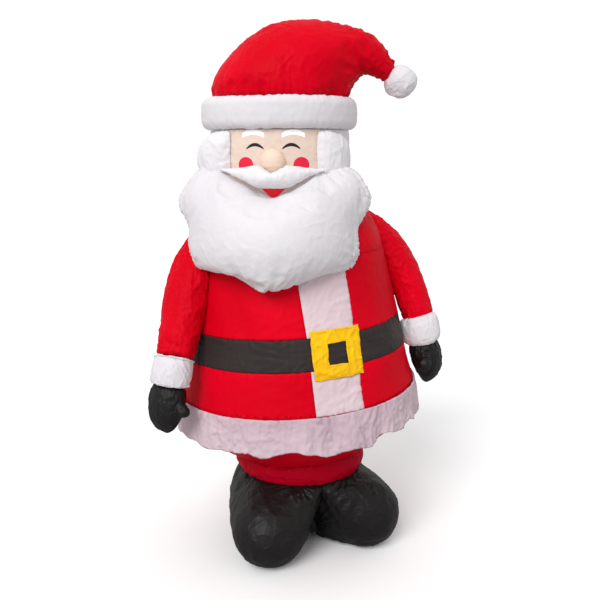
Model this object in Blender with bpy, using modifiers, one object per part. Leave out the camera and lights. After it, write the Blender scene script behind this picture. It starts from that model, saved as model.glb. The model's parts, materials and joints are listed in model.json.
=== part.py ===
"""Inflatable garden Santa, about 1.2 m tall, modelled as its sewn, air-filled chambers.

Units are metres, +Z is up and the coat's front faces -Y. The origin is on the floor under the middle of the figure's box.
Each chamber or cloth panel with an edge of its own is one closed solid, and neighbours keep a seam gap.
The boots and trousers stand upright, the coat and arms lean together, and the head is turned on top.
"""

import math

import bmesh
import bpy
from mathutils import Euler, Matrix, Vector

# The trousers' axis, to the figure's left of and behind the middle of the figure's box
AXIS_X = 0.0194
AXIS_Y = 0.0025

# Gaps and fine thicknesses
SEAM_GAP = 0.0005
PANEL_DEPTH = 0.008

# Boots and trousers
BOOT_HEIGHT = 0.170
TOE_RADIUS = 0.083
TOE_OUTWARD = 0.121
TOE_FORWARD = 0.130
LEFT_TOE_HELD_BACK = 0.014
INSTEP_RADIUS = 0.062
INSTEP_FORWARD = 0.060
HEEL_RADIUS = 0.078
HEEL_BACKWARD = 0.075
SOLE_FLAT = 0.006
TROUSER_RADIUS = 0.151
TROUSER_HEIGHT = 0.055
TROUSER_TUCK = 0.030
TAB_WIDTH = 0.018
TAB_LENGTH = 0.028
TAB_THICKNESS = 0.003
TAB_CLEARANCE = 0.030

# Coat, belt and hem, with heights above the coat's bottom
COAT_HEIGHT = 0.580
BELLY_RADIUS = 0.275
LEAN_SIDEWAYS = math.radians(3.75)
LEAN_FORWARD = math.radians(0.6)
BELT_HEIGHT = 0.252
BELT_WIDTH = 0.065
PLACKET_WIDTH = 0.105
PLACKET_TOP = 0.81 * COAT_HEIGHT
BUCKLE_WIDTH = 0.107
BUCKLE_HEIGHT = 0.098
BUCKLE_WINDOW = 0.042
BUCKLE_SHIFT = 0.005
BUCKLE_CLOTH = 0.004
HEM_SEAM = 0.276 * COAT_HEIGHT
HEM_LENGTH = 0.074
HEM_CLOTH = 0.003
HEM_RUFFLE = 0.003
HEM_WAVES = 12

# Arms, each a flattened tube with its broad side turned part way to the front
SLEEVE_WIDTH = 0.100
SLEEVE_THICKNESS = 0.076
CUFF_WIDTH = 0.104
CUFF_THICKNESS = 0.090
CUFF_LENGTH = 0.058
MITTEN_WIDTH = 0.084
MITTEN_THICKNESS = 0.062
MITTEN_LENGTH = 0.098
THUMB_RADIUS = 0.017
THUMB_REACH = 0.052
ARM_TWIST = math.radians(35)

# Head, face, hair and beard, with heights above the neck
HEAD_RADIUS = 0.155
HEAD_HEIGHT = 0.156
HEAD_SHIFT = 0.012
HEAD_TURN = math.radians(-23.5)
HEAD_NOD = math.radians(3)
FACE_WIDTH = 0.190
FACE_BOTTOM = 0.015
NOSE_RADIUS = 0.025
NOSE_HEIGHT = 0.094
BEARD_HALF_WIDTH = 0.2055
BEARD_DROP = 0.165
BEARD_PUFF = 0.080
MOUSTACHE_HALF_WIDTH = 0.105
MOUSTACHE_PUFF = 0.032
HAIR_PUFF = 0.034
BAG_STANDOFF = 0.012
BAG_FULLNESS = 0.55
BAG_ROUNDING = 10
CHEST_EASE = 0.090
SHEET_SIDE = 0.50

# Hat, its band and its pompom
BAND_RADIUS = 0.175
BAND_HEIGHT = 0.068
HAT_RADIUS = 0.152
HAT_HEIGHT = 0.160
POMPOM_RADIUS = 0.034
POMPOM_LENGTH = 0.062
POMPOM_TURN = math.radians(124)

# Turned outlines, from the bottom up, as shares of each piece's own (height, radius)
COAT_SHAPE = (
    (0.000, 0.550), (0.045, 0.700), (0.096, 0.826), (0.165, 0.935), (0.220, 0.985), (0.270, 1.000),
    (0.350, 0.964), (0.457, 0.926), (0.609, 0.864), (0.757, 0.804), (0.861, 0.761), (0.939, 0.688),
    (0.983, 0.580), (1.000, 0.453),
)
TROUSER_SHAPE = ((0.0, 1.00), (0.3, 1.02), (0.6, 1.00), (1.0, 0.97))
HEAD_SHAPE = ((-0.06, 0.80), (0.06, 0.94), (0.30, 1.00), (0.80, 1.00), (1.00, 0.985))
BAND_SHAPE = (
    (0.00, 0.900), (0.07, 0.960), (0.22, 0.993), (0.50, 1.000), (0.78, 0.993), (0.93, 0.962), (1.00, 0.905),
)
POMPOM_SHAPE = ((0.0, 0.60), (0.10, 0.83), (0.30, 0.98), (0.50, 1.0), (0.72, 0.92), (0.88, 0.68), (1.0, 0.30))
NOSE_SHAPE = ((-1.0, 0.25), (-0.80, 0.62), (-0.40, 0.93), (0.0, 1.0), (0.40, 0.92), (0.75, 0.66), (0.97, 0.22))

# Limb girths, from the top down, as (share of the length, share of the girth)
SLEEVE_SHAPE = ((0.0, 1.18), (0.25, 1.14), (0.55, 1.04), (0.85, 0.98), (1.0, 0.95))
CUFF_SHAPE = ((0.0, 0.94), (0.14, 0.99), (0.38, 1.0), (0.66, 1.0), (0.88, 0.98), (1.0, 0.92))
MITTEN_SHAPE = ((0.0, 0.84), (0.16, 0.96), (0.40, 1.0), (0.62, 0.90), (0.80, 0.66), (0.93, 0.36), (1.0, 0.12))

# Arm lines as (share of the coat's height, share of the sleeve's thickness outside the coat, degrees forward)
RIGHT_ARM = (
    (0.890, -0.72, 2), (0.826, -0.12, 5), (0.739, 0.24, 9), (0.652, 0.42, 12), (0.565, 0.58, 14),
    (0.494, 0.72, 16), (0.435, 0.82, 17), (0.374, 0.88, 17), (0.200, 0.98, 17),
)
LEFT_ARM = (
    (0.890, -0.62, 2), (0.826, 0.05, 5), (0.739, 0.42, 9), (0.652, 0.60, 12), (0.565, 0.67, 14),
    (0.494, 0.70, 16), (0.435, 0.69, 17), (0.374, 0.70, 17), (0.200, 0.70, 17),
)
WRIST = 0.480

# The hat's upper and lower outline in the plane it bends in, as shares of (HAT_RADIUS, HAT_HEIGHT)
HAT_OVER = (
    (-0.99, 0.00), (-0.91, 0.29), (-0.70, 0.54), (-0.44, 0.755), (-0.07, 0.95), (0.37, 1.00), (0.81, 0.96),
    (1.21, 0.85), (1.47, 0.66), (1.655, 0.42),
)
HAT_UNDER = (
    (0.99, 0.00), (1.045, 0.17), (1.12, 0.27), (1.19, 0.315), (1.237, 0.324), (1.28, 0.312), (1.34, 0.286),
    (1.40, 0.266), (1.457, 0.234), (1.50, 0.207),
)

# Half outlines of the sewn bags, as shares of (half-width, BEARD_DROP) and (half-width, HEAD_HEIGHT)
BEARD_OUTLINE = (
    (0.00, 0.136), (0.16, 0.260), (0.39, 0.412), (0.61, 0.485), (0.775, 0.467), (0.905, 0.285),
    (1.00, 0.048), (0.92, -0.133), (0.85, -0.273), (0.862, -0.412), (0.886, -0.545), (0.862, -0.680),
    (0.775, -0.776), (0.62, -0.794), (0.363, -0.842), (0.17, -0.909),
)
CHIN = (-0.09, -1.0)
MOUSTACHE_OUTLINE = (
    (0.00, 0.440), (0.10, 0.475), (0.23, 0.560), (0.45, 0.535), (0.76, 0.510), (1.00, 0.495), (0.84, 0.405),
    (0.55, 0.310), (0.32, 0.272), (0.00, 0.264),
)
# A hair puff's outline as (degrees round from the middle of the face, share of HEAD_HEIGHT)
HAIR_OUTLINE = (
    (35, 0.985), (50, 0.985), (66, 0.95), (84, 0.85), (99, 0.70), (105, 0.52), (102, 0.36), (86, 0.28),
    (62, 0.27), (40, 0.33), (35, 0.50), (35, 0.78),
)

# How finely round forms are divided
ROUND_STEPS = 36
SMALL_STEPS = 20
LIMB_SIDES = 16
HAT_SIDES = 24
HAT_RINGS = 13

COLOURS = {
    "red": (0.62, 0.004, 0.012, 1),
    "black": (0.020, 0.018, 0.018, 1),
    "belt": (0.045, 0.036, 0.034, 1),
    "white": (0.86, 0.83, 0.87, 1),
    "pink_white": (0.78, 0.68, 0.73, 1),
    "yellow": (0.95, 0.52, 0.02, 1),
    "skin": (0.90, 0.66, 0.50, 1),
}


def clear_scene():
    """Remove whatever the file opened with."""
    for obj in list(bpy.data.objects):
        bpy.data.objects.remove(obj, do_unlink=True)


def collection(name):
    """A new collection in the scene."""
    made = bpy.data.collections.new(name)
    bpy.context.scene.collection.children.link(made)
    return made


def cloth(name):
    """The plain material of one colour of cloth."""
    found = bpy.data.materials.get(name)
    if found:
        return found
    made = bpy.data.materials.new(name)
    made.use_nodes = True
    shader = made.node_tree.nodes["Principled BSDF"]
    shader.inputs["Base Color"].default_value = COLOURS[name]
    shader.inputs["Roughness"].default_value = 0.5
    shader.inputs["Metallic"].default_value = 0.0
    return made


def add(name, mesh, colour, parent, group):
    """An object of this mesh in a group, carried by a parent frame, or by none."""
    obj = bpy.data.objects.new(name, mesh)
    obj.data.materials.append(cloth(colour))
    obj.parent = parent
    group.objects.link(obj)
    return obj


def as_cutter(obj, cutters):
    """Move an object to the cutters, which are never rendered."""
    for owner in list(obj.users_collection):
        owner.objects.unlink(obj)
    cutters.objects.link(obj)
    obj.hide_render = True
    obj.display_type = "WIRE"
    return obj


def carrier(name, location, rotation, cutters):
    """An empty that carries the pieces of one leaning or turned part of the figure."""
    empty = bpy.data.objects.new(name, None)
    empty.location = location
    empty.rotation_euler = rotation
    cutters.objects.link(empty)
    return empty


def smooth_line(points, count, closed=False):
    """Count points along a smooth curve through these."""
    vectors = [Vector(p) for p in points]
    spans = len(vectors) if closed else len(vectors) - 1
    line = []
    for step in range(count):
        place = step * spans / (count if closed else count - 1)
        i = min(int(place), spans - 1)
        t = place - i
        if closed:
            a, b, c, d = (vectors[(i + k) % len(vectors)] for k in (-1, 0, 1, 2))
        else:
            a, b, c, d = (vectors[min(max(i + k, 0), len(vectors) - 1)] for k in (-1, 0, 1, 2))
        bend = 2 * a - 5 * b + 4 * c - d
        line.append(0.5 * (2 * b + (c - a) * t + bend * t * t + (3 * b - a - 3 * c + d) * t ** 3))
    return line


def share_at(shape, x):
    """The second value of a list of pairs at the first value x, read along straight lines."""
    if x <= shape[0][0]:
        return shape[0][1]
    for (x0, y0), (x1, y1) in zip(shape, shape[1:]):
        if x <= x1:
            return y0 + (y1 - y0) * (x - x0) / (x1 - x0)
    return shape[-1][1]


def outline(shape, height, radius, low, high, grow=0.0):
    """A turned outline between two heights as (radius, height), top first, grown by a distance."""
    least = height / 100
    between = [share * height for share, _ in shape if low + least < share * height < high - least]
    return [(radius * share_at(shape, h / height) + grow, h) for h in reversed([low, *between, high])]


def coat_outline(low, high, grow=0.0):
    """The coat's outline between two heights above its bottom."""
    return outline(COAT_SHAPE, COAT_HEIGHT, BELLY_RADIUS, low, high, grow)


def head_outline(low, high, grow=0.0):
    """The head's outline between two heights above the neck."""
    return outline(HEAD_SHAPE, HEAD_HEIGHT, HEAD_RADIUS, low, high, grow)


def turned(name, line, colour, parent, group, steps=ROUND_STEPS):
    """A solid of revolution from an outline of (radius, height), top first, closed on the axis."""
    profile = [(0.0, line[0][1]), *line, (0.0, line[-1][1])]
    mesh = bpy.data.meshes.new(name)
    mesh.from_pydata([(r, 0, z) for r, z in profile], [(i, i + 1) for i in range(len(line) + 1)], [])
    obj = add(name, mesh, colour, parent, group)
    screw = obj.modifiers.new("turn", "SCREW")
    screw.steps = steps
    screw.render_steps = steps
    screw.use_merge_vertices = True
    screw.merge_threshold = 0.00005
    screw.use_smooth_shade = True
    return obj


def finished_mesh(name, shell):
    """A shaded mesh from an edited one, whose faces are made to point outwards."""
    bmesh.ops.recalc_face_normals(shell, faces=shell.faces)
    mesh = bpy.data.meshes.new(name)
    shell.to_mesh(mesh)
    shell.free()
    mesh.shade_smooth()
    mesh.set_sharp_from_angle(angle=math.radians(40))
    return mesh


def lofted(name, rings, colour, parent, group):
    """A solid through rings of points, all with as many points, each end closed round its middle."""
    shell = bmesh.new()
    loops = [[shell.verts.new(point) for point in ring] for ring in rings]
    sides = len(rings[0])
    for upper, lower in zip(loops, loops[1:]):
        for i in range(sides):
            j = (i + 1) % sides
            shell.faces.new((upper[i], upper[j], lower[j]))
            shell.faces.new((upper[i], lower[j], lower[i]))
    for loop in (loops[0], loops[-1]):
        middle = shell.verts.new(sum((vert.co for vert in loop), Vector()) / sides)
        for i in range(sides):
            shell.faces.new((loop[i], loop[(i + 1) % sides], middle))
    return add(name, finished_mesh(name, shell), colour, parent, group)


def ball(centre, radius, segments=16, rings=8):
    """Points on a sphere."""
    points = [centre + Vector((0, 0, radius)), centre - Vector((0, 0, radius))]
    for i in range(1, rings):
        polar = math.pi * i / rings
        for j in range(segments):
            turn = math.tau * j / segments
            across = Vector((math.cos(turn), math.sin(turn), 0)) * math.sin(polar)
            points.append(centre + radius * (across + Vector((0, 0, math.cos(polar)))))
    return points


def taut_cloth(points):
    """The closed shell that cloth drawn taut over a set of points would make."""
    shell = bmesh.new()
    for point in points:
        shell.verts.new(point)
    bmesh.ops.convex_hull(shell, input=shell.verts)
    loose = [vert for vert in shell.verts if not vert.link_faces]
    bmesh.ops.delete(shell, geom=loose, context="VERTS")
    return shell


def block(name, size, centre, colour, parent, group):
    """A box."""
    shell = bmesh.new()
    bmesh.ops.create_cube(shell, size=1.0, matrix=Matrix.Translation(centre) @ Matrix.Diagonal((*size, 1)))
    return add(name, finished_mesh(name, shell), colour, parent, group)


def boolean(obj, operation, other):
    """Join, cut or intersect obj with another object."""
    step = obj.modifiers.new(operation.lower() + "_" + other.name, "BOOLEAN")
    step.operation = operation
    step.solver = "EXACT"
    step.object = other
    return obj


def make_room(obj, neighbour, cutters):
    """Cut obj back from a neighbour's full shape, leaving a seam gap."""
    name = "room_for_" + neighbour.name
    room = bpy.data.objects.get(name)
    if room is None:
        room = neighbour.copy()
        room.name = name
        for step in list(room.modifiers):
            if step.type == "BOOLEAN" and step.operation != "UNION":
                room.modifiers.remove(step)
        grow = room.modifiers.new("gap", "DISPLACE")
        grow.strength = 1.5 * SEAM_GAP
        grow.mid_level = 0.0
        as_cutter(room, cutters)
    return boolean(obj, "DIFFERENCE", room)


def inset_panel(name, outline_of, low, high, width, colour, owner, parts, cutters):
    """A strip of cloth let in flush at the front of a turned piece, which gets a pocket for it."""
    parent = owner.parent
    reach = 2 * max(radius for radius, _ in outline_of(low, high))
    middle = (0, -reach / 2, (low + high) / 2)
    tall = high - low + 4 * PANEL_DEPTH
    ends = (low - PANEL_DEPTH, high + PANEL_DEPTH)
    panel = turned(name, outline_of(low, high), colour, parent, parts)
    strip = block(name + "_strip", (width, reach, tall), middle, colour, parent, cutters)
    back = turned(name + "_back", outline_of(*ends, -PANEL_DEPTH), colour, parent, cutters)
    boolean(panel, "INTERSECT", as_cutter(strip, cutters))
    boolean(panel, "DIFFERENCE", as_cutter(back, cutters))

    pocket_outline = outline_of(low - SEAM_GAP, high + SEAM_GAP, PANEL_DEPTH)
    pocket = turned(name + "_pocket", pocket_outline, colour, parent, cutters)
    opening = block(
        name + "_opening", (width + 2 * SEAM_GAP, reach, tall), middle, colour, parent, cutters)
    floor = turned(name + "_floor", outline_of(*ends, -PANEL_DEPTH - SEAM_GAP), colour, parent, cutters)
    boolean(pocket, "INTERSECT", as_cutter(opening, cutters))
    boolean(pocket, "DIFFERENCE", as_cutter(floor, cutters))
    boolean(owner, "DIFFERENCE", as_cutter(pocket, cutters))
    return panel


def make_boot(name, side, parts):
    """One boot: a toe, an instep and a heel under half of the trousers' round end."""
    inner = SEAM_GAP / 2
    forward = TOE_FORWARD - (LEFT_TOE_HELD_BACK if side > 0 else 0)
    toe = Vector((side * TOE_OUTWARD, -forward, TOE_RADIUS - SOLE_FLAT))
    instep = Vector((side * (INSTEP_RADIUS + inner), -INSTEP_FORWARD, INSTEP_RADIUS - SOLE_FLAT))
    heel = Vector((side * (HEEL_RADIUS + inner), HEEL_BACKWARD, HEEL_RADIUS - SOLE_FLAT))
    points = ball(toe, TOE_RADIUS) + ball(instep, INSTEP_RADIUS) + ball(heel, HEEL_RADIUS)
    arc = ROUND_STEPS // 2
    for i in range(arc + 1):
        turn = math.pi * (i / arc - 0.5)
        outward = max(inner, TROUSER_RADIUS * math.cos(turn))
        points.append(Vector((side * outward, TROUSER_RADIUS * math.sin(turn), BOOT_HEIGHT - SEAM_GAP)))
    shell = taut_cloth(points)
    everything = shell.verts[:] + shell.edges[:] + shell.faces[:]
    cut = bmesh.ops.bisect_plane(
        shell, geom=everything, plane_co=(0, 0, 0), plane_no=(0, 0, -1), clear_outer=True)
    rim = [part for part in cut["geom_cut"] if isinstance(part, bmesh.types.BMEdge)]
    bmesh.ops.holes_fill(shell, edges=rim)
    return add(name, finished_mesh(name, shell), "black", None, parts)


def make_tether_tab(boots, parts, cutters):
    """The small flat cloth tab low down in the front fork between the boots."""
    fork = -INSTEP_FORWARD - INSTEP_RADIUS / 2
    middle = (0, fork, TAB_CLEARANCE + TAB_LENGTH / 2)
    tab = block("tether_tab", (TAB_WIDTH, TAB_THICKNESS, TAB_LENGTH), middle, "black", None, parts)
    for boot in boots:
        make_room(tab, boot, cutters)


def make_trousers(coat_lower, parts, cutters):
    """The round end of the trousers between the boots and the coat."""
    tube = TROUSER_HEIGHT + TROUSER_TUCK
    line = outline(TROUSER_SHAPE, tube, TROUSER_RADIUS, 0, tube)
    trousers = turned("trousers", [(r, z + BOOT_HEIGHT) for r, z in line], "red", None, parts)
    make_room(trousers, coat_lower, cutters)


def make_coat(torso, parts, cutters):
    """The coat below and above the belt, the belt between, and the white front strip let into it."""
    belt_top = BELT_HEIGHT + BELT_WIDTH
    lower_top = BELT_HEIGHT - SEAM_GAP
    upper_bottom = belt_top + SEAM_GAP
    lower = turned("coat_lower", coat_outline(0, lower_top), "red", torso, parts)
    turned("belt", coat_outline(BELT_HEIGHT, belt_top), "belt", torso, parts)
    upper = turned("coat_upper", coat_outline(upper_bottom, COAT_HEIGHT), "red", torso, parts)
    strips = (
        ("placket_lower", HEM_SEAM, lower_top, lower),
        ("placket_upper", upper_bottom, PLACKET_TOP, upper),
    )
    for name, low, high, owner in strips:
        inset_panel(name, coat_outline, low, high, PLACKET_WIDTH, "pink_white", owner, parts, cutters)
    return lower, upper


def make_buckle(torso, parts, cutters):
    """The square cloth patch with a window, lying on the middle of the belt."""
    middle = BELT_HEIGHT + BELT_WIDTH / 2
    low = middle - BUCKLE_HEIGHT / 2
    high = middle + BUCKLE_HEIGHT / 2
    under = 2 * SEAM_GAP
    centre = (BUCKLE_SHIFT, -BELLY_RADIUS, middle)
    size = (BUCKLE_WIDTH, BELLY_RADIUS, 2 * BUCKLE_HEIGHT)
    hole = (BUCKLE_WINDOW, BELLY_RADIUS, BUCKLE_WINDOW)
    buckle = turned("buckle", coat_outline(low, high, under + BUCKLE_CLOTH), "yellow", torso, parts)
    back_outline = coat_outline(low - BUCKLE_CLOTH, high + BUCKLE_CLOTH, under)
    patch = block("buckle_patch", size, centre, "yellow", torso, cutters)
    back = turned("buckle_back", back_outline, "yellow", torso, cutters)
    window = block("buckle_window", hole, centre, "yellow", torso, cutters)
    boolean(buckle, "INTERSECT", as_cutter(patch, cutters))
    boolean(buckle, "DIFFERENCE", as_cutter(back, cutters))
    boolean(buckle, "DIFFERENCE", as_cutter(window, cutters))


def make_hem(torso, parts):
    """The loose strip of cloth that hangs from the coat's widest part, gathered into soft waves."""
    columns = 4 * HEM_WAVES
    rows = ((0.0, 0.0), (0.3, 0.5), (1.0, 1.0))
    seam_radius = BELLY_RADIUS * share_at(COAT_SHAPE, HEM_SEAM / COAT_HEIGHT)
    shell = bmesh.new()
    loops = []
    for drop, free in rows:
        loop = []
        for i in range(columns):
            turn = math.tau * i / columns
            wave = math.sin(HEM_WAVES * turn) + 0.6 * math.sin((HEM_WAVES - 5) * turn + 1.3)
            radius = seam_radius + 3 * SEAM_GAP + free * HEM_RUFFLE * (1.6 + wave)
            edge = drop * HEM_RUFFLE * math.sin((HEM_WAVES - 4) * turn + 0.7)
            height = HEM_SEAM - HEM_LENGTH * drop + edge
            loop.append(shell.verts.new((radius * math.sin(turn), -radius * math.cos(turn), height)))
        loops.append(loop)
    for upper, lower in zip(loops, loops[1:]):
        for i in range(columns):
            j = (i + 1) % columns
            shell.faces.new((upper[i], lower[i], lower[j], upper[j]))
    hem = add("hem", finished_mesh("hem", shell), "pink_white", torso, parts)
    thicken = hem.modifiers.new("cloth", "SOLIDIFY")
    thicken.thickness = HEM_CLOTH
    thicken.offset = 1.0


def arm_centre(line, side, height):
    """The middle of an arm at a height above the coat's bottom."""
    share = height / COAT_HEIGHT
    offset = SLEEVE_THICKNESS * share_at(sorted((s, o) for s, o, _ in line), share)
    turn = math.radians(share_at(sorted((s, f) for s, _, f in line), share))
    radius = BELLY_RADIUS * share_at(COAT_SHAPE, share) + offset
    return Vector((side * radius * math.cos(turn), -radius * math.sin(turn), height))


def arm_breadth(side):
    """The direction of an arm's broad side, inwards and to the front."""
    return Vector((-side * math.sin(ARM_TWIST), -math.cos(ARM_TWIST), 0))


def arm_rings(line, side, top, length, shape, width, thickness, count):
    """Flattened rings down an arm, square to its line."""
    step = COAT_HEIGHT / 50
    rings = []
    for k in range(count):
        share = k / (count - 1)
        height = top - share * length
        along = arm_centre(line, side, height + step) - arm_centre(line, side, height - step)
        along.normalize()
        breadth = arm_breadth(side)
        long_axis = (breadth - along * along.dot(breadth)).normalized() * width / 2
        short_axis = along.cross(long_axis).normalized() * thickness / 2
        girth = share_at(shape, share)
        turns = [math.tau * i / LIMB_SIDES for i in range(LIMB_SIDES)]
        centre = arm_centre(line, side, height)
        rings.append([centre + girth * (long_axis * math.cos(t) + short_axis * math.sin(t)) for t in turns])
    return rings


def make_mitten(side_name, side, line, top, torso, parts, cutters):
    """A mitten that narrows to a rounded end, with a short thumb at its front edge."""
    rings = arm_rings(line, side, top, MITTEN_LENGTH, MITTEN_SHAPE, MITTEN_WIDTH, MITTEN_THICKNESS, 7)
    mitten = lofted("mitten_" + side_name, rings, "black", torso, parts)
    root = arm_centre(line, side, top - MITTEN_LENGTH * 0.25)
    tip = arm_centre(line, side, top - MITTEN_LENGTH * 0.48) + THUMB_REACH * arm_breadth(side)
    shell = taut_cloth(ball(root, THUMB_RADIUS, 10, 6) + ball(tip, THUMB_RADIUS * 0.6, 10, 6))
    thumb = add("thumb_" + side_name, finished_mesh("thumb", shell), "black", torso, cutters)
    boolean(mitten, "UNION", as_cutter(thumb, cutters))


def make_arm(side_name, side, points, torso, coat, parts, cutters):
    """One arm: the sleeve that comes out of the coat, its cuff and its mitten."""
    line = smooth_line(points, 60)
    top = points[0][0] * COAT_HEIGHT
    wrist = WRIST * COAT_HEIGHT
    rings = arm_rings(line, side, top, top - wrist, SLEEVE_SHAPE, SLEEVE_WIDTH, SLEEVE_THICKNESS, 9)
    sleeve = lofted("sleeve_" + side_name, rings, "red", torso, parts)
    for piece in coat:
        make_room(sleeve, piece, cutters)
    cuff_top = wrist - 2 * SEAM_GAP
    rings = arm_rings(line, side, cuff_top, CUFF_LENGTH, CUFF_SHAPE, CUFF_WIDTH, CUFF_THICKNESS, 5)
    lofted("cuff_" + side_name, rings, "white", torso, parts)
    mitten_top = cuff_top - CUFF_LENGTH - 2 * SEAM_GAP
    make_mitten(side_name, side, line, mitten_top, torso, parts, cutters)
    return sleeve


def mirrored(half, tip=()):
    """A closed outline from its right half, which starts on the middle line, and an optional lowest point."""
    start = half[0]
    right = [point for point in half if point[0] > 0]
    lowest = [point for point in half[1:] if point[0] == 0]
    return [start, *right, *tip, *lowest, *((-x, z) for x, z in reversed(right))]


def bag(name, outline_points, surface, puff, count, colour, head, parts):
    """A closed bag on a star-shaped outline, fuller in front than behind.

    surface(x, z) gives the place of the bag's rim sheet and its outward direction.
    """
    rim = smooth_line(outline_points, count, closed=True)
    middle = sum(rim, Vector((0, 0))) / count
    rounded = rim
    for _ in range(BAG_ROUNDING):
        rounded = [(rounded[i - 1] + rounded[i] + rounded[(i + 1) % count]) / 3 for i in range(count)]
    layers = [(share, puff) for share in (0.15, 0.45, 0.72, 0.92)]
    layers += [(1.0, 0.0)] + [(share, -0.7 * puff) for share in (0.88, 0.50)]
    rings = []
    for share, swell in layers:
        ring = []
        for corner, soft in zip(rim, rounded):
            place, outward = surface(*(middle + (soft.lerp(corner, share ** 2) - middle) * share))
            ring.append(place + outward * swell * (1 - share * share) ** BAG_FULLNESS)
        rings.append(ring)
    return lofted(name, rings, colour, head, parts)


def front_sheet(x, z):
    """The sheet that stands off in front of the head and eases forward over the coat below."""
    share = min(max(0.5 - z / (2 * CHEST_EASE), 0), 1)
    chest = BELLY_RADIUS * share_at(COAT_SHAPE, 1 + min(z, -CHEST_EASE) / COAT_HEIGHT)
    radius = HEAD_RADIUS + (chest - HEAD_RADIUS) * share * share * (3 - 2 * share)
    depth = math.sqrt(max(radius * radius - x * x, (SHEET_SIDE * radius) ** 2)) + BAG_STANDOFF
    return Vector((x, -depth, z)), Vector((0, -1, 0))


def side_sheet(side):
    """The sheet just outside the head, placed by degrees round from the middle of the face."""
    def surface(degrees, z):
        turn = math.radians(degrees)
        outward = Vector((side * math.sin(turn), -math.cos(turn), 0))
        return outward * (HEAD_RADIUS + BAG_STANDOFF / 3) + Vector((0, 0, z)), outward
    return surface


def make_head(head, coat_upper, sleeves, parts, cutters):
    """The head with its face panel, nose, hair, beard and moustache."""
    skull = turned("head", head_outline(HEAD_SHAPE[0][0] * HEAD_HEIGHT, HEAD_HEIGHT), "white", head, parts)
    make_room(skull, coat_upper, cutters)
    inset_panel("face", head_outline, FACE_BOTTOM, HEAD_HEIGHT, FACE_WIDTH, "skin", skull, parts, cutters)
    nose_line = [(NOSE_RADIUS * r, NOSE_RADIUS * z) for z, r in reversed(NOSE_SHAPE)]
    nose = turned("nose", nose_line, "skin", head, parts, SMALL_STEPS)
    nose.location = (0, -HEAD_RADIUS, NOSE_HEIGHT)
    make_room(nose, skull, cutters)

    beard_points = [(BEARD_HALF_WIDTH * x, BEARD_DROP * z) for x, z in mirrored(BEARD_OUTLINE, (CHIN,))]
    beard = bag("beard", beard_points, front_sheet, BEARD_PUFF, 44, "white", head, parts)
    for neighbour in (coat_upper, skull, *sleeves):
        make_room(beard, neighbour, cutters)
    lip_points = [(MOUSTACHE_HALF_WIDTH * x, HEAD_HEIGHT * z) for x, z in mirrored(MOUSTACHE_OUTLINE)]
    moustache = bag("moustache", lip_points, front_sheet, MOUSTACHE_PUFF, 24, "white", head, parts)
    for neighbour in (skull, beard, nose):
        make_room(moustache, neighbour, cutters)
    hair_points = [(turn, HEAD_HEIGHT * z) for turn, z in HAIR_OUTLINE]
    for side_name, side in (("right", -1), ("left", 1)):
        hair = bag("hair_" + side_name, hair_points, side_sheet(side), HAIR_PUFF, 20, "white", head, parts)
        for neighbour in (skull, beard, moustache):
            make_room(hair, neighbour, cutters)


def make_hat(head, parts):
    """The hat's round band, the hat bending to the figure's left, and the pompom at its tip."""
    bottom = HEAD_HEIGHT + SEAM_GAP
    band_line = outline(BAND_SHAPE, BAND_HEIGHT, BAND_RADIUS, 0, BAND_HEIGHT)
    turned("hat_band", [(r, z + bottom) for r, z in band_line], "white", head, parts)
    brim = bottom + BAND_HEIGHT + SEAM_GAP
    over, under = (
        smooth_line([(HAT_RADIUS * x, brim + HAT_HEIGHT * z) for x, z in edge], HAT_RINGS)
        for edge in (HAT_OVER, HAT_UNDER)
    )
    rings = []
    for upper, lower in zip(over, under):
        ring = []
        for i in range(HAT_SIDES):
            turn = math.tau * i / HAT_SIDES
            x, z = (upper + lower) / 2 + (lower - upper) / 2 * math.cos(turn)
            ring.append((x, (lower - upper).length / 2 * math.sin(turn), z))
        rings.append(ring)
    lofted("hat", rings, "red", head, parts)
    tip = (over[-1] + under[-1]) / 2
    line = outline(POMPOM_SHAPE, POMPOM_LENGTH, POMPOM_RADIUS, 0, POMPOM_LENGTH)
    pompom = turned("pompom", line, "white", head, parts, SMALL_STEPS)
    away = Vector((math.sin(POMPOM_TURN), 0, math.cos(POMPOM_TURN)))
    pompom.location = Vector((tip.x, 0, tip.y)) + 2 * SEAM_GAP * away
    pompom.rotation_euler = (0, POMPOM_TURN, 0)


def make_santa():
    """Build every piece of the figure."""
    clear_scene()
    parts = collection("inflatable_santa")
    cutters = collection("cutters")
    boots = [make_boot("boot_right", -1, parts), make_boot("boot_left", 1, parts)]
    make_tether_tab(boots, parts, cutters)

    hips = Vector((0, 0, BOOT_HEIGHT + TROUSER_HEIGHT))
    lean = Euler((LEAN_FORWARD, -LEAN_SIDEWAYS, 0))
    torso = carrier("torso", hips, lean, cutters)
    coat = make_coat(torso, parts, cutters)
    make_trousers(coat[0], parts, cutters)
    make_buckle(torso, parts, cutters)
    make_hem(torso, parts)
    sleeves = [
        make_arm("right", -1, RIGHT_ARM, torso, coat, parts, cutters),
        make_arm("left", 1, LEFT_ARM, torso, coat, parts, cutters),
    ]

    neck = hips + lean.to_matrix() @ Vector((0, 0, COAT_HEIGHT)) - Vector((HEAD_SHIFT, 0, 0))
    head = carrier("head_carrier", neck, Euler((HEAD_NOD, 0, HEAD_TURN)), cutters)
    make_head(head, coat[1], sleeves, parts, cutters)
    make_hat(head, parts)

    for obj in bpy.data.objects:
        if obj.parent is None:
            obj.location += Vector((AXIS_X, AXIS_Y, 0))


make_santa()
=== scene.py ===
"""The looks of an air-filled garden Santa sewn from thin cloth.

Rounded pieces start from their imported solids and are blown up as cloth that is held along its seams. Panels
are turned round an axis from their solids' outlines. All are then puckered at the seams and creased. Lengths
are metres, +Z is up and the coat faces -Y.
"""

import itertools
import json
import logging
import math
from dataclasses import dataclass, field, replace
from enum import Enum
from typing import Any, Callable, Iterable, Optional, Sequence

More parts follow.
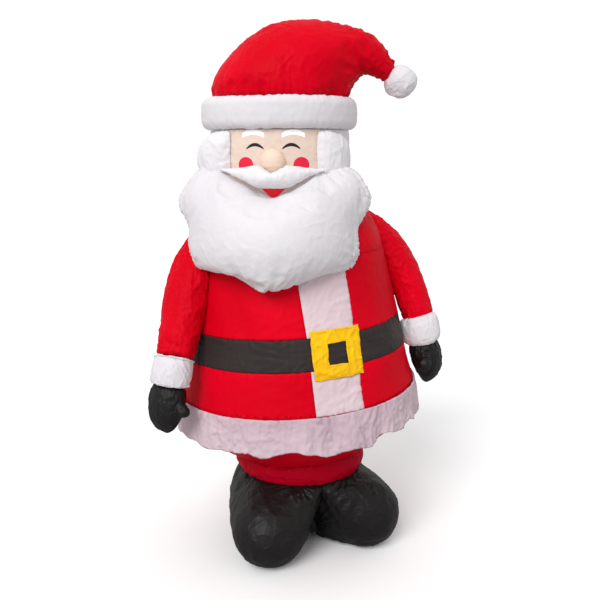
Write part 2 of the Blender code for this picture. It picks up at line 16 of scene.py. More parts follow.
import bmesh
import bpy
import numpy as np
from mathutils import Euler, Matrix, Vector, kdtree

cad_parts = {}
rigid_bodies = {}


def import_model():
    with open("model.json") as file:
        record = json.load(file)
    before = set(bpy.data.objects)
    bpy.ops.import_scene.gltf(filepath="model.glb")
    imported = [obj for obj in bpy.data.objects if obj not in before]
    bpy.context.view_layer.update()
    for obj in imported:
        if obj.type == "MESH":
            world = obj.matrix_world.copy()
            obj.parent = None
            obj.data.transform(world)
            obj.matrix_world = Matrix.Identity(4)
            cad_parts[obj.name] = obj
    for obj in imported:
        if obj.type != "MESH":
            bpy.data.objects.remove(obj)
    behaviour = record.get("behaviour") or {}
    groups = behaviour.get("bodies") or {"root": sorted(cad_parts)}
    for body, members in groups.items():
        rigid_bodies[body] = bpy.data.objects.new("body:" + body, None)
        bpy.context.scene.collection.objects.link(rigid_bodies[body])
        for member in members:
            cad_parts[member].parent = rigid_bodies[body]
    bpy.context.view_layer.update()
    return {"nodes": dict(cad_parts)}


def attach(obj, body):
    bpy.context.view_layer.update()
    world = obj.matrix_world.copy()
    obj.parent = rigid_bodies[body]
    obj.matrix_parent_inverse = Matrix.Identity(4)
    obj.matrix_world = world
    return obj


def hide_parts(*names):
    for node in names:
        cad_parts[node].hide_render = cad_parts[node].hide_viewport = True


for leftover in list(bpy.data.objects):
    bpy.data.objects.remove(leftover, do_unlink=True)
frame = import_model()
LOG = logging.getLogger("santa")

Colour = tuple[float, float, float]

# The carriers of the leaning coat and of the turned head, as in the solids
AXIS = Vector((0.0194, 0.0025, 0.0))
HIPS = AXIS + Vector((0.0, 0.0, 0.225))
LEAN = Euler((math.radians(0.6), -math.radians(3.75), 0.0))
COAT_HEIGHT = 0.580
NECK = HIPS + LEAN.to_matrix() @ Vector((0.0, 0.0, COAT_HEIGHT)) - Vector((0.012, 0.0, 0.0))
TORSO = Matrix.Translation(HIPS) @ LEAN.to_matrix().to_4x4()
HEAD_TURN = Euler((math.radians(3), 0.0, math.radians(-23.5)))
HEAD = Matrix.Translation(NECK) @ HEAD_TURN.to_matrix().to_4x4()

# The height step and the fewest points by which a turned solid's rings are told apart
RING_STEP = 0.0002
RING_POINTS = 20
# Half the slit where a panel's own two edges meet
SLIT = 0.0004
# How steeply a wrinkle noise is turned into ridges
RIDGE = 2.6


class Side(Enum):
    """The figure's own sides."""

    RIGHT = "right"
    LEFT = "left"


class Seaming(Enum):
    """Where the seams of a blown-up piece lie."""

    SHARP_EDGES = "the sharp edges of its solid"
    EDGES_AND_HALVES = "those edges, and the line where its front and back halves meet"


# ---- Noise, meshes and objects


def cloth_noise(points: np.ndarray, seed: int) -> np.ndarray:
    """Smooth noise over space with a grain of about one unit.

    Args:
        points: Places, one a row.
        seed: Which of the many noises it is.

    Returns:
        A value of about -1 to 1 for each place.
    """
    source = np.random.default_rng(seed)
    shuffled = source.permutation(256)
    slopes = source.normal(size=(256, 3))
    slopes /= np.linalg.norm(slopes, axis=1)[:, None]
    cell = np.floor(points).astype(int)
    part = points - cell
    fade = part**3 * (part * (part * 6 - 15) + 10)
    total = np.zeros(len(points))
    for corner in itertools.product((0, 1), repeat=3):
        at = (cell + corner) & 255
        index = shuffled[(shuffled[(shuffled[at[:, 0]] + at[:, 1]) & 255] + at[:, 2]) & 255]
        weight = np.prod(np.where(corner, fade, 1 - fade), axis=1)
        total += weight * ((part - corner) * slopes[index]).sum(axis=1)
    return total * 1.6


def place(matrix: Matrix, points: np.ndarray) -> np.ndarray:
    """Points, one a row, moved by a matrix."""
    values = np.array(matrix, float)
    return points @ values[:3, :3].T + values[:3, 3]


def coordinates(mesh: bpy.types.Mesh) -> np.ndarray:
    """A mesh's vertices, one a row."""
    flat = np.empty(len(mesh.vertices) * 3)
    mesh.vertices.foreach_get("co", flat)
    return flat.reshape(-1, 3)


def directions(mesh: bpy.types.Mesh) -> np.ndarray:
    """A mesh's vertex normals, one a row."""
    flat = np.empty(len(mesh.vertices) * 3)
    mesh.vertex_normals.foreach_get("vector", flat)
    return flat.reshape(-1, 3)


def put_coordinates(mesh: bpy.types.Mesh, points: np.ndarray) -> None:
    """Move a mesh's vertices to these places."""
    mesh.vertices.foreach_set("co", points.ravel())
    mesh.update()


def shown(name: str, mesh: bpy.types.Mesh) -> bpy.types.Object:
    """A new object of this mesh at the origin."""
    obj = bpy.data.objects.new(name, mesh)
    bpy.context.scene.collection.objects.link(obj)
    return obj


def applied(obj: bpy.types.Object) -> bpy.types.Object:
    """The object with its modifiers made part of its mesh."""
    graph = bpy.context.evaluated_depsgraph_get()
    mesh = bpy.data.meshes.new_from_object(obj.evaluated_get(graph))
    obj.modifiers.clear()
    obj.data = mesh
    return obj


def merged(node: str) -> bpy.types.Mesh:
    """A copy of a solid's mesh with its loose triangles joined."""
    shell = bmesh.new()
    shell.from_mesh(frame["nodes"][node].data)
    bmesh.ops.remove_doubles(shell, verts=shell.verts, dist=1e-5)
    mesh = bpy.data.meshes.new(node + "_copy")
    shell.to_mesh(mesh)
    shell.free()
    return mesh


def built(
    name: str,
    points: np.ndarray,
    faces: Sequence[Sequence[int]],
    closed: bool = True,
) -> bpy.types.Mesh:
    """A smooth mesh from points and faces.

    Args:
        name: The mesh's name.
        points: Its vertices, one a row.
        faces: Vertex numbers of each face.
        closed: Whether it is closed, so that its faces can be turned outwards.

    Returns:
        The mesh.
    """
    mesh = bpy.data.meshes.new(name)
    mesh.from_pydata(points.tolist(), [], [tuple(face) for face in faces])
    if closed:
        shell = bmesh.new()
        shell.from_mesh(mesh)
        bmesh.ops.recalc_face_normals(shell, faces=shell.faces)
        shell.to_mesh(mesh)
        shell.free()
    mesh.shade_smooth()
    return mesh


# ---- Shader nodes


class Wiring:
    """Adds and joins the nodes of one node tree."""

    def __init__(self, tree: bpy.types.NodeTree) -> None:
        """Keep the tree that is wired."""
        self.tree = tree

    def add(self, kind: str, feeds: Optional[dict[Any, Any]] = None, **settings: Any) -> bpy.types.Node:
        """Add a node.

        Args:
            kind: Its type.
            feeds: What goes into its inputs, each a value or another node's output.
            settings: Its own options.

        Returns:
            The node.
        """
        node = self.tree.nodes.new(kind)
        for option, value in settings.items():
            setattr(node, option, value)
        for socket, value in (feeds or {}).items():
            if isinstance(value, bpy.types.NodeSocket):
                self.tree.links.new(value, node.inputs[socket])
            else:
                node.inputs[socket].default_value = value
        return node

    def math(self, operation: str, *values: Any) -> bpy.types.NodeSocket:
        """The result of a sum on numbers."""
        return self.add("ShaderNodeMath", dict(enumerate(values)), operation=operation).outputs[0]

    def vector(self, operation: str, feeds: dict[Any, Any]) -> bpy.types.NodeSocket:
        """The result of a sum on vectors."""
        return self.add("ShaderNodeVectorMath", feeds, operation=operation).outputs[0]

    def spread(self, value: Any, low: float, high: float, first: float, last: float) -> bpy.types.NodeSocket:
        """A number moved from one range to another and held inside it."""
        feeds = {0: value, 1: low, 2: high, 3: first, 4: last}
        return self.add("ShaderNodeMapRange", feeds).outputs[0]

    def mixed(self, share: Any, first: Any, second: Any) -> bpy.types.NodeSocket:
        """Two colours mixed."""
        node = self.add("ShaderNodeMix", {0: share, 6: first, 7: second}, data_type="RGBA")
        return node.outputs[2]


def socketed(name: str, kind: str, inputs: Iterable[tuple], outputs: Iterable[tuple]) -> bpy.types.NodeTree:
    """A new node group with named sockets.

    Args:
        name: The group's name.
        kind: The tree's type.
        inputs: Each input's name and type, and its value where it has one.
        outputs: Each output's name and type.

    Returns:
        The group.
    """
    group = bpy.data.node_groups.new(name, kind)
    for label, socket, *value in inputs:
        made = group.interface.new_socket(label, in_out="INPUT", socket_type=socket)
        if value:
            made.default_value = value[0]
    for label, socket in outputs:
        group.interface.new_socket(label, in_out="OUTPUT", socket_type=socket)
    return group


def creased_cloth_group() -> bpy.types.NodeTree:
    """The shader group of fine creases, threads and uneven dye that all the cloths share."""
    name = "creased cloth"
    if name in bpy.data.node_groups:
        return bpy.data.node_groups[name]
    group = socketed(
        name,
        "ShaderNodeTree",
        (
            ("Place", "NodeSocketVector"),
            ("Crease Size", "NodeSocketFloat", 0.05),
            ("Thread Size", "NodeSocketFloat", 0.002),
        ),
        (("Height", "NodeSocketFloat"), ("Shade", "NodeSocketFloat")),
    )
    wiring = Wiring(group)
    given = wiring.add("NodeGroupInput")
    place_in, crease, thread = (given.outputs[k] for k in range(3))
    per_crease = wiring.math("DIVIDE", 1.0, crease)
    per_thread = wiring.math("DIVIDE", 1.0, thread)
    warp = wiring.add("ShaderNodeTexNoise", {"Vector": place_in, "Scale": 9.0, "Detail": 1.0})
    bent = wiring.vector("MULTIPLY_ADD", {0: warp.outputs["Color"], 1: (0.05, 0.05, 0.05), 2: place_in})
    ridge = wiring.add(
        "ShaderNodeTexNoise",
        {"Vector": bent, "Scale": per_crease, "Detail": 3.0, "Roughness": 0.55},
        noise_type="RIDGED_MULTIFRACTAL",
        normalize=True,
    )
    weave = wiring.add("ShaderNodeTexNoise", {"Vector": place_in, "Scale": per_thread, "Detail": 0.0})
    patch = wiring.add("ShaderNodeTexNoise", {"Vector": place_in, "Scale": 5.0, "Detail": 2.0})
    height = wiring.math("MULTIPLY_ADD", weave.outputs[0], 0.06, ridge.outputs[0])
    shade = wiring.spread(patch.outputs[0], 0.35, 0.68, 0.0, 1.0)
    wiring.add("NodeGroupOutput", {0: height, 1: shade})
    return group


@dataclass(frozen=True)
class ClothFinish:
    """One colour of thin woven cloth.

    Attributes:
        name: The material's name.
        colour: The cloth's colour, linear.
        deep: Its colour where the dye looks deeper.
        roughness: How dull its shine is.
        crease_size: The distance between fine creases.
        crease_depth: Their depth.
        gloss: How much it reflects.
        painted_glow: How strongly it glows in its own colour, painted light that lifts it where it lies in
            shade.
    """

    name: str
    colour: Colour
    deep: Colour
    roughness: float = 0.5
    crease_size: float = 0.045
    crease_depth: float = 0.0016
    gloss: float = 0.12
    painted_glow: float = 0.0

    def shader(self) -> tuple[bpy.types.Material, Wiring, bpy.types.Node, bpy.types.NodeSocket]:
        """Start the material: its own wiring, its shader and its dye colour."""
        material = bpy.data.materials.new(self.name)
        material.use_nodes = True
        wiring = Wiring(material.node_tree)
        surface = material.node_tree.nodes["Principled BSDF"]
        where = wiring.add("ShaderNodeTexCoord").outputs["Object"]
        cloth = wiring.add("ShaderNodeGroup", node_tree=creased_cloth_group())
        wiring.tree.links.new(where, cloth.inputs["Place"])
        cloth.inputs["Crease Size"].default_value = self.crease_size
        feeds = {"Height": cloth.outputs["Height"], "Distance": self.crease_depth}
        bump = wiring.add("ShaderNodeBump", feeds)
        wiring.tree.links.new(bump.outputs[0], surface.inputs["Normal"])
        surface.inputs["Roughness"].default_value = self.roughness
        surface.inputs["Specular IOR Level"].default_value = self.gloss
        # The emission is painted light: the cloth glows in its own colour so that its shade looks lighter.
        surface.inputs["Emission Strength"].default_value = self.painted_glow
        dye = wiring.mixed(cloth.outputs["Shade"], (*self.colour, 1.0), (*self.deep, 1.0))
        return material, wiring, surface, dye

    def paint(self, wiring: Wiring, surface: bpy.types.Node, colour: bpy.types.NodeSocket) -> None:
        """Use a colour for the cloth and for its glow, which is painted light in the same colour."""
        wiring.tree.links.new(colour, surface.inputs["Base Color"])
        wiring.tree.links.new(colour, surface.inputs["Emission Color"])

    def material(self) -> bpy.types.Material:
        """This cloth's material, made once."""
        if self.name in bpy.data.materials:
            return bpy.data.materials[self.name]
        material, wiring, surface, dye = self.shader()
        self.paint(wiring, surface, dye)
        return material


# Cloths given a glow shine in their own colour, painted light that lifts their shaded parts.
RED = ClothFinish("red cloth", (0.69, 0.0, 0.013), (0.58, 0.0, 0.009), gloss=0.04)
# The red cloth again, darkened: painted shade for the trousers under the coat.
SHADED_RED = ClothFinish("deep red cloth", (0.46, 0.0, 0.014), (0.38, 0.0, 0.010), gloss=0.04)
WHITE = ClothFinish(
    "white cloth", (0.655, 0.635, 0.655), (0.625, 0.600, 0.628), 0.6, 0.022, 0.0014, painted_glow=0.10)
# The white cloth again, lighter and glowing more: painted light that lifts the shaded moustache and hair.
LIT_WHITE = ClothFinish(
    "bright white cloth", (0.700, 0.680, 0.702), (0.66, 0.64, 0.662), 0.6, 0.022, 0.0020, painted_glow=0.13)
PINK_WHITE = ClothFinish(
    "white cloth over red", (0.72, 0.575, 0.615), (0.65, 0.505, 0.545), 0.6, 0.028, 0.0016)
HEM_WHITE = ClothFinish(
    "loose white cloth", (0.61, 0.475, 0.52), (0.49, 0.36, 0.415), 0.6, 0.018, 0.0034, painted_glow=0.04)
BLACK = ClothFinish(
    "black cloth", (0.0085, 0.0070, 0.0068), (0.0055, 0.0047, 0.0047), 0.50, 0.012, 0.0016, 0.24)
BELT = ClothFinish("belt cloth", (0.034, 0.026, 0.025), (0.026, 0.020, 0.019), 0.5, 0.020, 0.0022)
YELLOW = ClothFinish("yellow cloth", (0.92, 0.54, 0.006), (0.80, 0.41, 0.004), 0.5, 0.025, 0.0020)
NOSE = ClothFinish("nose cloth", (0.77, 0.600, 0.49), (0.73, 0.55, 0.44), 0.6, 0.024, 0.0010, painted_glow=0.12)
THREAD = ClothFinish("pale thread", (0.85, 0.74, 0.76), (0.80, 0.68, 0.71))
GOLD_THREAD = ClothFinish("golden thread", (0.62, 0.30, 0.01), (0.55, 0.25, 0.01))


@dataclass(frozen=True)
class FaceFinish(ClothFinish):
    """Peach cloth printed with brows, eyes, cheeks and a mouth, kept apart by an attribute."""

    brow: Colour = (0.98, 0.97, 0.98)
    eye: Colour = (0.020, 0.018, 0.020)
    cheek: Colour = (0.68, 0.020, 0.052)
    # The lip colour is the printed red made as bright as it goes, partly print and partly painted light
    # against the moustache's shade.
    lip: Colour = (1.0, 0.030, 0.050)

    def material(self) -> bpy.types.Material:
        """The face's material, which reads from "features" how far inside each feature a point lies."""
        material, wiring, surface, dye = self.shader()
        features = wiring.add("ShaderNodeAttribute", attribute_name="features")
        parts = wiring.add("ShaderNodeSeparateColor", {0: features.outputs["Color"]})
        colour = dye
        for channel, paint in enumerate((self.brow, self.eye, self.cheek)):
            inside = wiring.spread(parts.outputs[channel], 0.49, 0.51, 0.0, 1.0)
            colour = wiring.mixed(inside, colour, (*paint, 1.0))
        mouth = wiring.spread(features.outputs["Alpha"], 0.49, 0.51, 0.0, 1.0)
        colour = wiring.mixed(mouth, colour, (*self.lip, 1.0))
        self.paint(wiring, surface, colour)
        return material


FACE = FaceFinish(
    "face cloth", (0.70, 0.570, 0.487), (0.66, 0.520, 0.437), 0.6, 0.024, 0.0020, painted_glow=0.14)


# ---- Seams and wrinkles


@dataclass
class SeamLines:
    """Points close together along a piece's seams."""

    points: np.ndarray
    tree: kdtree.KDTree = field(init=False)

    def __post_init__(self) -> None:
        self.tree = kdtree.KDTree(len(self.points))
        for number, point in enumerate(self.points):
            self.tree.insert(point, number)
        self.tree.balance()

    def nearest(self, places: np.ndarray) -> tuple[np.ndarray, np.ndarray]:
        """The nearest seam point to each place.

        Args:
            places: Places, one a row.

        Returns:
            The seam points and their distances.
        """
        found = [self.tree.find(spot)[1:] for spot in places]
        numbers = np.array([number for number, _ in found])
        return self.points[numbers], np.array([distance for _, distance in found])


def relaxed(mesh: bpy.types.Mesh, points: np.ndarray, free: np.ndarray, rounds: int) -> np.ndarray:
    """Even out a cloth, each point as far as it is free.

    Args:
        mesh: The mesh whose edges join the points.
        points: Its points, one a row.
        free: How free each point is, from 0 to 1.
        rounds: How often every point moves towards its neighbours.

    Returns:
        The points moved.
    """
    pairs = np.empty(len(mesh.edges) * 2, int)
    mesh.edges.foreach_get("vertices", pairs)
    ends = np.concatenate([pairs.reshape(-1, 2), pairs.reshape(-1, 2)[:, ::-1]])
    total = len(points)
    degree = np.maximum(np.bincount(ends[:, 0], minlength=total), 1)[:, None]
    pull = 0.7 * free[:, None]
    for _ in range(rounds):
        beside = points[ends[:, 1]]
        sums = [np.bincount(ends[:, 0], weights=beside[:, axis], minlength=total) for axis in range(3)]
        points = points + pull * (np.stack(sums, axis=1) / degree - points)
    return points


def sharp_edge_points(mesh: bpy.types.Mesh, angle: float, spacing: float = 0.0015) -> np.ndarray:
    """Points along a closed mesh's edges that bend by more than an angle."""
    shell = bmesh.new()
    shell.from_mesh(mesh)
    points = []
    for edge in shell.edges:
        if len(edge.link_faces) == 2 and edge.calc_face_angle(0) > angle:
            start, end = (np.array(vert.co) for vert in edge.verts)
            count = max(2, int(edge.calc_length() / spacing))
            points += [start + (end - start) * k / count for k in range(count)]
    shell.free()
    return np.array(points).reshape(-1, 3)


def crests(noise: np.ndarray) -> np.ndarray:
    """Thin ridges, from 0 to 1, along the zero lines of a noise."""
    return np.clip(1 - RIDGE * np.abs(noise), 0.0, 1.0) ** 1.5


@dataclass(frozen=True)
class Push:
    """A soft push that moves the part of a piece round a point.

    Attributes:
        centre: The point, in the figure's frame.
        reach: How far the push is felt.
        move: How far the point moves.
    """

    centre: Vector
    reach: float
    move: Vector

    def shift(self, points: np.ndarray) -> np.ndarray:
        """How each point moves."""
        distance = np.linalg.norm(points - np.array(self.centre), axis=1)
        return np.exp(-((distance / self.reach) ** 2))[:, None] * np.array(self.move)


@dataclass(frozen=True)
class Gather:
    """Folds that radiate from a point where the cloth is drawn together.

    Attributes:
        centre: The point, in the figure's frame.
        reach: How far the folds run.
        depth: Their depth.
        folds: How many there are in a radian, about.
    """

    centre: tuple[float, float, float]
    reach: float
    depth: float
    folds: float = 3.0

    def shift(self, points: np.ndarray, seed: int) -> np.ndarray:
        """How far each point moves out along its normal."""
        away = points - np.array(self.centre)
        distance = np.linalg.norm(away, axis=1)
        towards = away / np.maximum(distance, 1e-6)[:, None]
        fold = 1 - 2 * np.abs(cloth_noise(towards * self.folds, seed))
        rise = np.clip(distance / (0.25 * self.reach), 0, 1)
        fall = np.clip(1 - distance / self.reach, 0, 1)
        return self.depth * fold * rise * fall


@dataclass(frozen=True)
class Wrinkles:
    """The puckers along a cloth's seams and the creases across it.

    Attributes:
        tuck: How deep the seam lies.
        tuck_width: How far the cloth dips towards it.
        pucker: The depth of the puckers that run off the seam.
        pucker_size: The distance between them.
        reach: How far they run.
        crease: The height of the creases away from the seams.
        crease_size: The distance between them.
        stretch: How the creases are drawn out along X, Y and Z.
        swell: The height of broad soft unevenness.
        gathers: Places that folds radiate from.
    """

    tuck: float = 0.0020
    tuck_width: float = 0.005
    pucker: float = 0.0016
    pucker_size: float = 0.012
    reach: float = 0.016
    crease: float = 0.0008
    crease_size: float = 0.035
    stretch: tuple[float, float, float] = (1.0, 1.0, 1.0)
    swell: float = 0.0015
    gathers: tuple[Gather, ...] = ()

    def shift(self, points: np.ndarray, seams: Optional[SeamLines], seed: int) -> np.ndarray:
        """How far each point of a cloth moves out along its normal.

        Args:
            points: The cloth's points, one a row.
            seams: Its seams, if it has any.
            seed: Which of the many wrinklings it is.

        Returns:
            A distance for each point.
        """
        drawn = points / (np.array(self.stretch) * self.crease_size)
        warp = cloth_noise(drawn * 0.4 + 7.0, seed + 1)[:, None]
        first = crests(cloth_noise(drawn + warp, seed + 2))
        second = crests(cloth_noise(drawn * 2.1 - warp, seed + 3))
        patch = 0.5 + 0.5 * cloth_noise(points / 0.09, seed + 4)
        moved = self.crease * (first + 0.5 * second) * np.clip(patch * 1.8, 0.25, 1.3)
        moved += self.swell * cloth_noise(points / 0.075, seed + 5)
        for number, gather in enumerate(self.gathers):
            moved += gather.shift(points, seed + 20 + number)
        if seams is not None and len(seams.points):
            on_seam, distance = seams.nearest(points)
            spot = on_seam / self.pucker_size
            reach = self.reach * (0.7 + 0.9 * np.abs(cloth_noise(spot / 2.3, seed + 6)))
            fold = 1 - RIDGE * np.abs(cloth_noise(spot, seed + 7))
            finer = 1 - RIDGE * np.abs(cloth_noise(spot / 0.45, seed + 8))
            fading = np.exp(-distance / reach)
            moved += self.pucker * (fold + 0.35 * finer) * fading
            moved -= self.tuck * np.exp(-((distance / self.tuck_width) ** 2))
        return moved


# ---- Blown-up pieces


@dataclass
class BlownPiece:
    """A sewn piece made from its solid, blown up as cloth that is held at its seams.

    Attributes:
        node: Its solid's node.
        finish: Its cloth.
        slot: The record's material slot; not used.
        voxel: The size of the cloth's cells.
        wrinkles: Its puckers and creases.
        seaming: Where its seams lie.
        halves: The frame whose local XZ plane parts the front half from the back.
        edge_angle: How sharp a solid's edge is to be a seam.
        swollen: How much its solid is thickened first, so that thin rims are kept.
        shrunk: How much smaller it starts, on every side.
        pressure: The air pressure inside.
        slack: How much larger the cloth is than the solid.
        cap: How far a point may move.
        smoothing: How often the whole cloth is evened out.
        relaxing: How often the cloth away from the seams is evened out after that.
        floor: The height that it may not sink under.
        pushes: Soft pushes that shape it in the end.
        seed: Which of the many wrinklings it has.
    """

    node: str
    finish: ClothFinish
    slot: str
    voxel: float = 0.0045
    wrinkles: Wrinkles = field(default_factory=Wrinkles)
    seaming: Seaming = Seaming.SHARP_EDGES
    halves: Optional[Matrix] = None
    edge_angle: float = math.radians(50)
    swollen: float = 0.0
    shrunk: float = 0.002
    pressure: float = 4.0
    slack: float = 0.02
    cap: float = 0.006
    smoothing: int = 6
    relaxing: int = 0
    floor: float = 0.0
    pushes: tuple[Push, ...] = ()
    seed: int = 1
    obj: Optional[bpy.types.Object] = field(default=None, init=False)
    start: Optional[np.ndarray] = field(default=None, init=False)
    seams: Optional[SeamLines] = field(default=None, init=False)

    def cut(self) -> None:
        """Make the cloth's mesh from the solid, and find its seams."""
        solid = merged(self.node)
        lines = [sharp_edge_points(solid, self.edge_angle)]
        if self.swollen:
            put_coordinates(solid, coordinates(solid) + directions(solid) * self.swollen)
        self.obj = shown(self.node + "_cloth", solid)
        remesh = self.obj.modifiers.new("cells", "REMESH")
        remesh.mode = "VOXEL"
        remesh.voxel_size = self.voxel
        remesh.use_smooth_shade = True
        smooth = self.obj.modifiers.new("smooth", "SMOOTH")
        smooth.iterations = self.smoothing
        applied(self.obj)
        points = coordinates(self.obj.data)
        if self.seaming is Seaming.EDGES_AND_HALVES and self.halves is not None:
            local = place(self.halves.inverted(), points)
            middle = local[np.abs(local[:, 1]) < self.voxel]
            middle[:, 1] = 0.0
            lines.append(place(self.halves, middle))
        found = np.concatenate([line for line in lines if len(line)] or [np.empty((0, 3))])
        self.seams = SeamLines(found) if len(found) else None
        if self.relaxing and self.seams is not None:
            _, distance = self.seams.nearest(points)
            free = np.clip(distance / (4 * self.voxel), 0.0, 1.0)
            points = relaxed(self.obj.data, points, free, self.relaxing)
            rim, distance = self.seams.nearest(points)
            pull = np.clip(1.15 - distance / (3 * self.voxel), 0.0, 1.0)
            points += (rim - points) * pull[:, None]
            put_coordinates(self.obj.data, points)
        points -= directions(self.obj.data) * self.shrunk
        put_coordinates(self.obj.data, points)
        self.start = points

    def fill(self, frames: int) -> None:
        """Give the cloth its air and hold it at its seams."""
        held = self.obj.vertex_groups.new(name="held")
        if self.seams is not None:
            _, distance = self.seams.nearest(self.start)
            held.add(np.flatnonzero(distance < self.voxel * 0.9).tolist(), 1.0, "REPLACE")
        on_floor = np.flatnonzero(self.start[:, 2] < 0.006)
        held.add(on_floor.tolist(), 1.0, "REPLACE")
        cloth = self.obj.modifiers.new("air", "CLOTH")
        cloth.settings.quality = 5
        cloth.settings.mass = 0.3
        cloth.settings.tension_stiffness = 12
        cloth.settings.compression_stiffness = 12
        cloth.settings.shear_stiffness = 4
        cloth.settings.bending_stiffness = 0.3
        cloth.settings.use_pressure = True
        cloth.settings.uniform_pressure_force = self.pressure
        cloth.settings.shrink_min = -self.slack
        cloth.settings.vertex_group_mass = held.name
        cloth.settings.effector_weights.gravity = 0.0
        cloth.collision_settings.use_collision = False
        cloth.collision_settings.use_self_collision = False
        cloth.point_cache.frame_start = 1
        cloth.point_cache.frame_end = frames

    def settle(self) -> None:
        """Keep the blown-up shape, with every point near where it began."""
        graph = bpy.context.evaluated_depsgraph_get()
        mesh = bpy.data.meshes.new_from_object(self.obj.evaluated_get(graph))
        moved = coordinates(mesh) - self.start
        length = np.maximum(np.linalg.norm(moved, axis=1), 1e-9)
        share = self.cap * np.tanh(length / self.cap) / length
        self.obj.modifiers.clear()
        put_coordinates(self.obj.data, self.start + moved * share[:, None])
        self.obj.vertex_groups.clear()

    def dress(self) -> bpy.types.Object:
        finer = self.obj.modifiers.new("finer", "SUBSURF")
        finer.levels = 1
        finer.render_levels = 1
        applied(self.obj)
        points = coordinates(self.obj.data)
        shift = self.wrinkles.shift(points, self.seams, self.seed)
        points += directions(self.obj.data) * shift[:, None]
        for push in self.pushes:
            points += push.shift(points)
        points[:, 2] = np.maximum(points[:, 2], self.floor)
        put_coordinates(self.obj.data, points)
        self.obj.data.shade_smooth()
        return finished(self.obj, self.finish, (self.node,))


def finished(
    obj: bpy.types.Object,
    finish: ClothFinish,
    nodes: Sequence[str],
) -> bpy.types.Object:
    """Give a piece its cloth, hang it on the root body and hide the solids that it stands for.

    Args:
        obj: The piece.
        finish: Its cloth.
        nodes: The solids that it stands for.

    Returns:
        The piece.
    """
    obj.data.materials.clear()
    obj.data.materials.append(finish.material())
    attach(obj, "root")
    if nodes:
        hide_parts(*nodes)
    return obj


def blow_up(pieces: Sequence[BlownPiece], frames: int = 18) -> None:
    for piece in pieces:
        piece.cut()
    for piece in pieces:
        piece.fill(frames)
    for number in range(1, frames + 1):
        bpy.context.scene.frame_set(number)
    for piece in pieces:
        piece.settle()
    bpy.context.scene.frame_set(1)
    for piece in pieces:
        piece.dress()
        LOG.info("blown up: %s, %d faces", piece.node, len(piece.obj.data.polygons))


# ---- Turned cloth


def ring_profile(nodes: Sequence[str], matrix: Matrix) -> tuple[np.ndarray, np.ndarray]:
    """The outline of turned solids, read from their own rings.

    Args:
        nodes: The solids' nodes.
        matrix: The frame whose Z is their axis.

    Returns:
        Heights, upwards, and the radius at each.
    """
    points = np.concatenate([coordinates(frame["nodes"][node].data) for node in nodes])
    local = place(matrix.inverted(), points)
    radius = np.hypot(local[:, 0], local[:, 1])
    level = np.round(local[:, 2] / RING_STEP).astype(int)
    heights, radii = [], []
    for height in np.unique(level):
        ring = radius[level == height]
        if len(ring) >= RING_POINTS:
            heights.append(height * RING_STEP)
            radii.append(ring.max())
    return np.array(heights), np.array(radii)


@dataclass
class Outline:
    """A turned cloth's smooth outline.

    Attributes:
        heights: Heights, upwards.
        radii: The radius at each.
        blur: How far corners are softened.
        steps: How finely it is divided.
    """

    heights: np.ndarray
    radii: np.ndarray
    blur: float = 0.010
    steps: int = 600

    def __post_init__(self) -> None:
        """Soften the outline's corners, but keep its ends."""
        low, high = self.heights[0], self.heights[-1]
        fine = np.linspace(low, high, self.steps)
        plain = np.interp(fine, self.heights, self.radii)
        width = max(1, int(self.blur / (high - low) * self.steps))
        before = 2 * plain[0] - plain[width:0:-1]
        after = 2 * plain[-1] - plain[-2 : -width - 2 : -1]
        kernel = np.hanning(2 * width + 1)
        soft = np.convolve(np.concatenate([before, plain, after]), kernel / kernel.sum(), mode="valid")
        self.heights, self.radii = fine, soft

    def radius(self, height: np.ndarray) -> np.ndarray:
        """The radius at a height."""
        return np.interp(height, self.heights, self.radii)


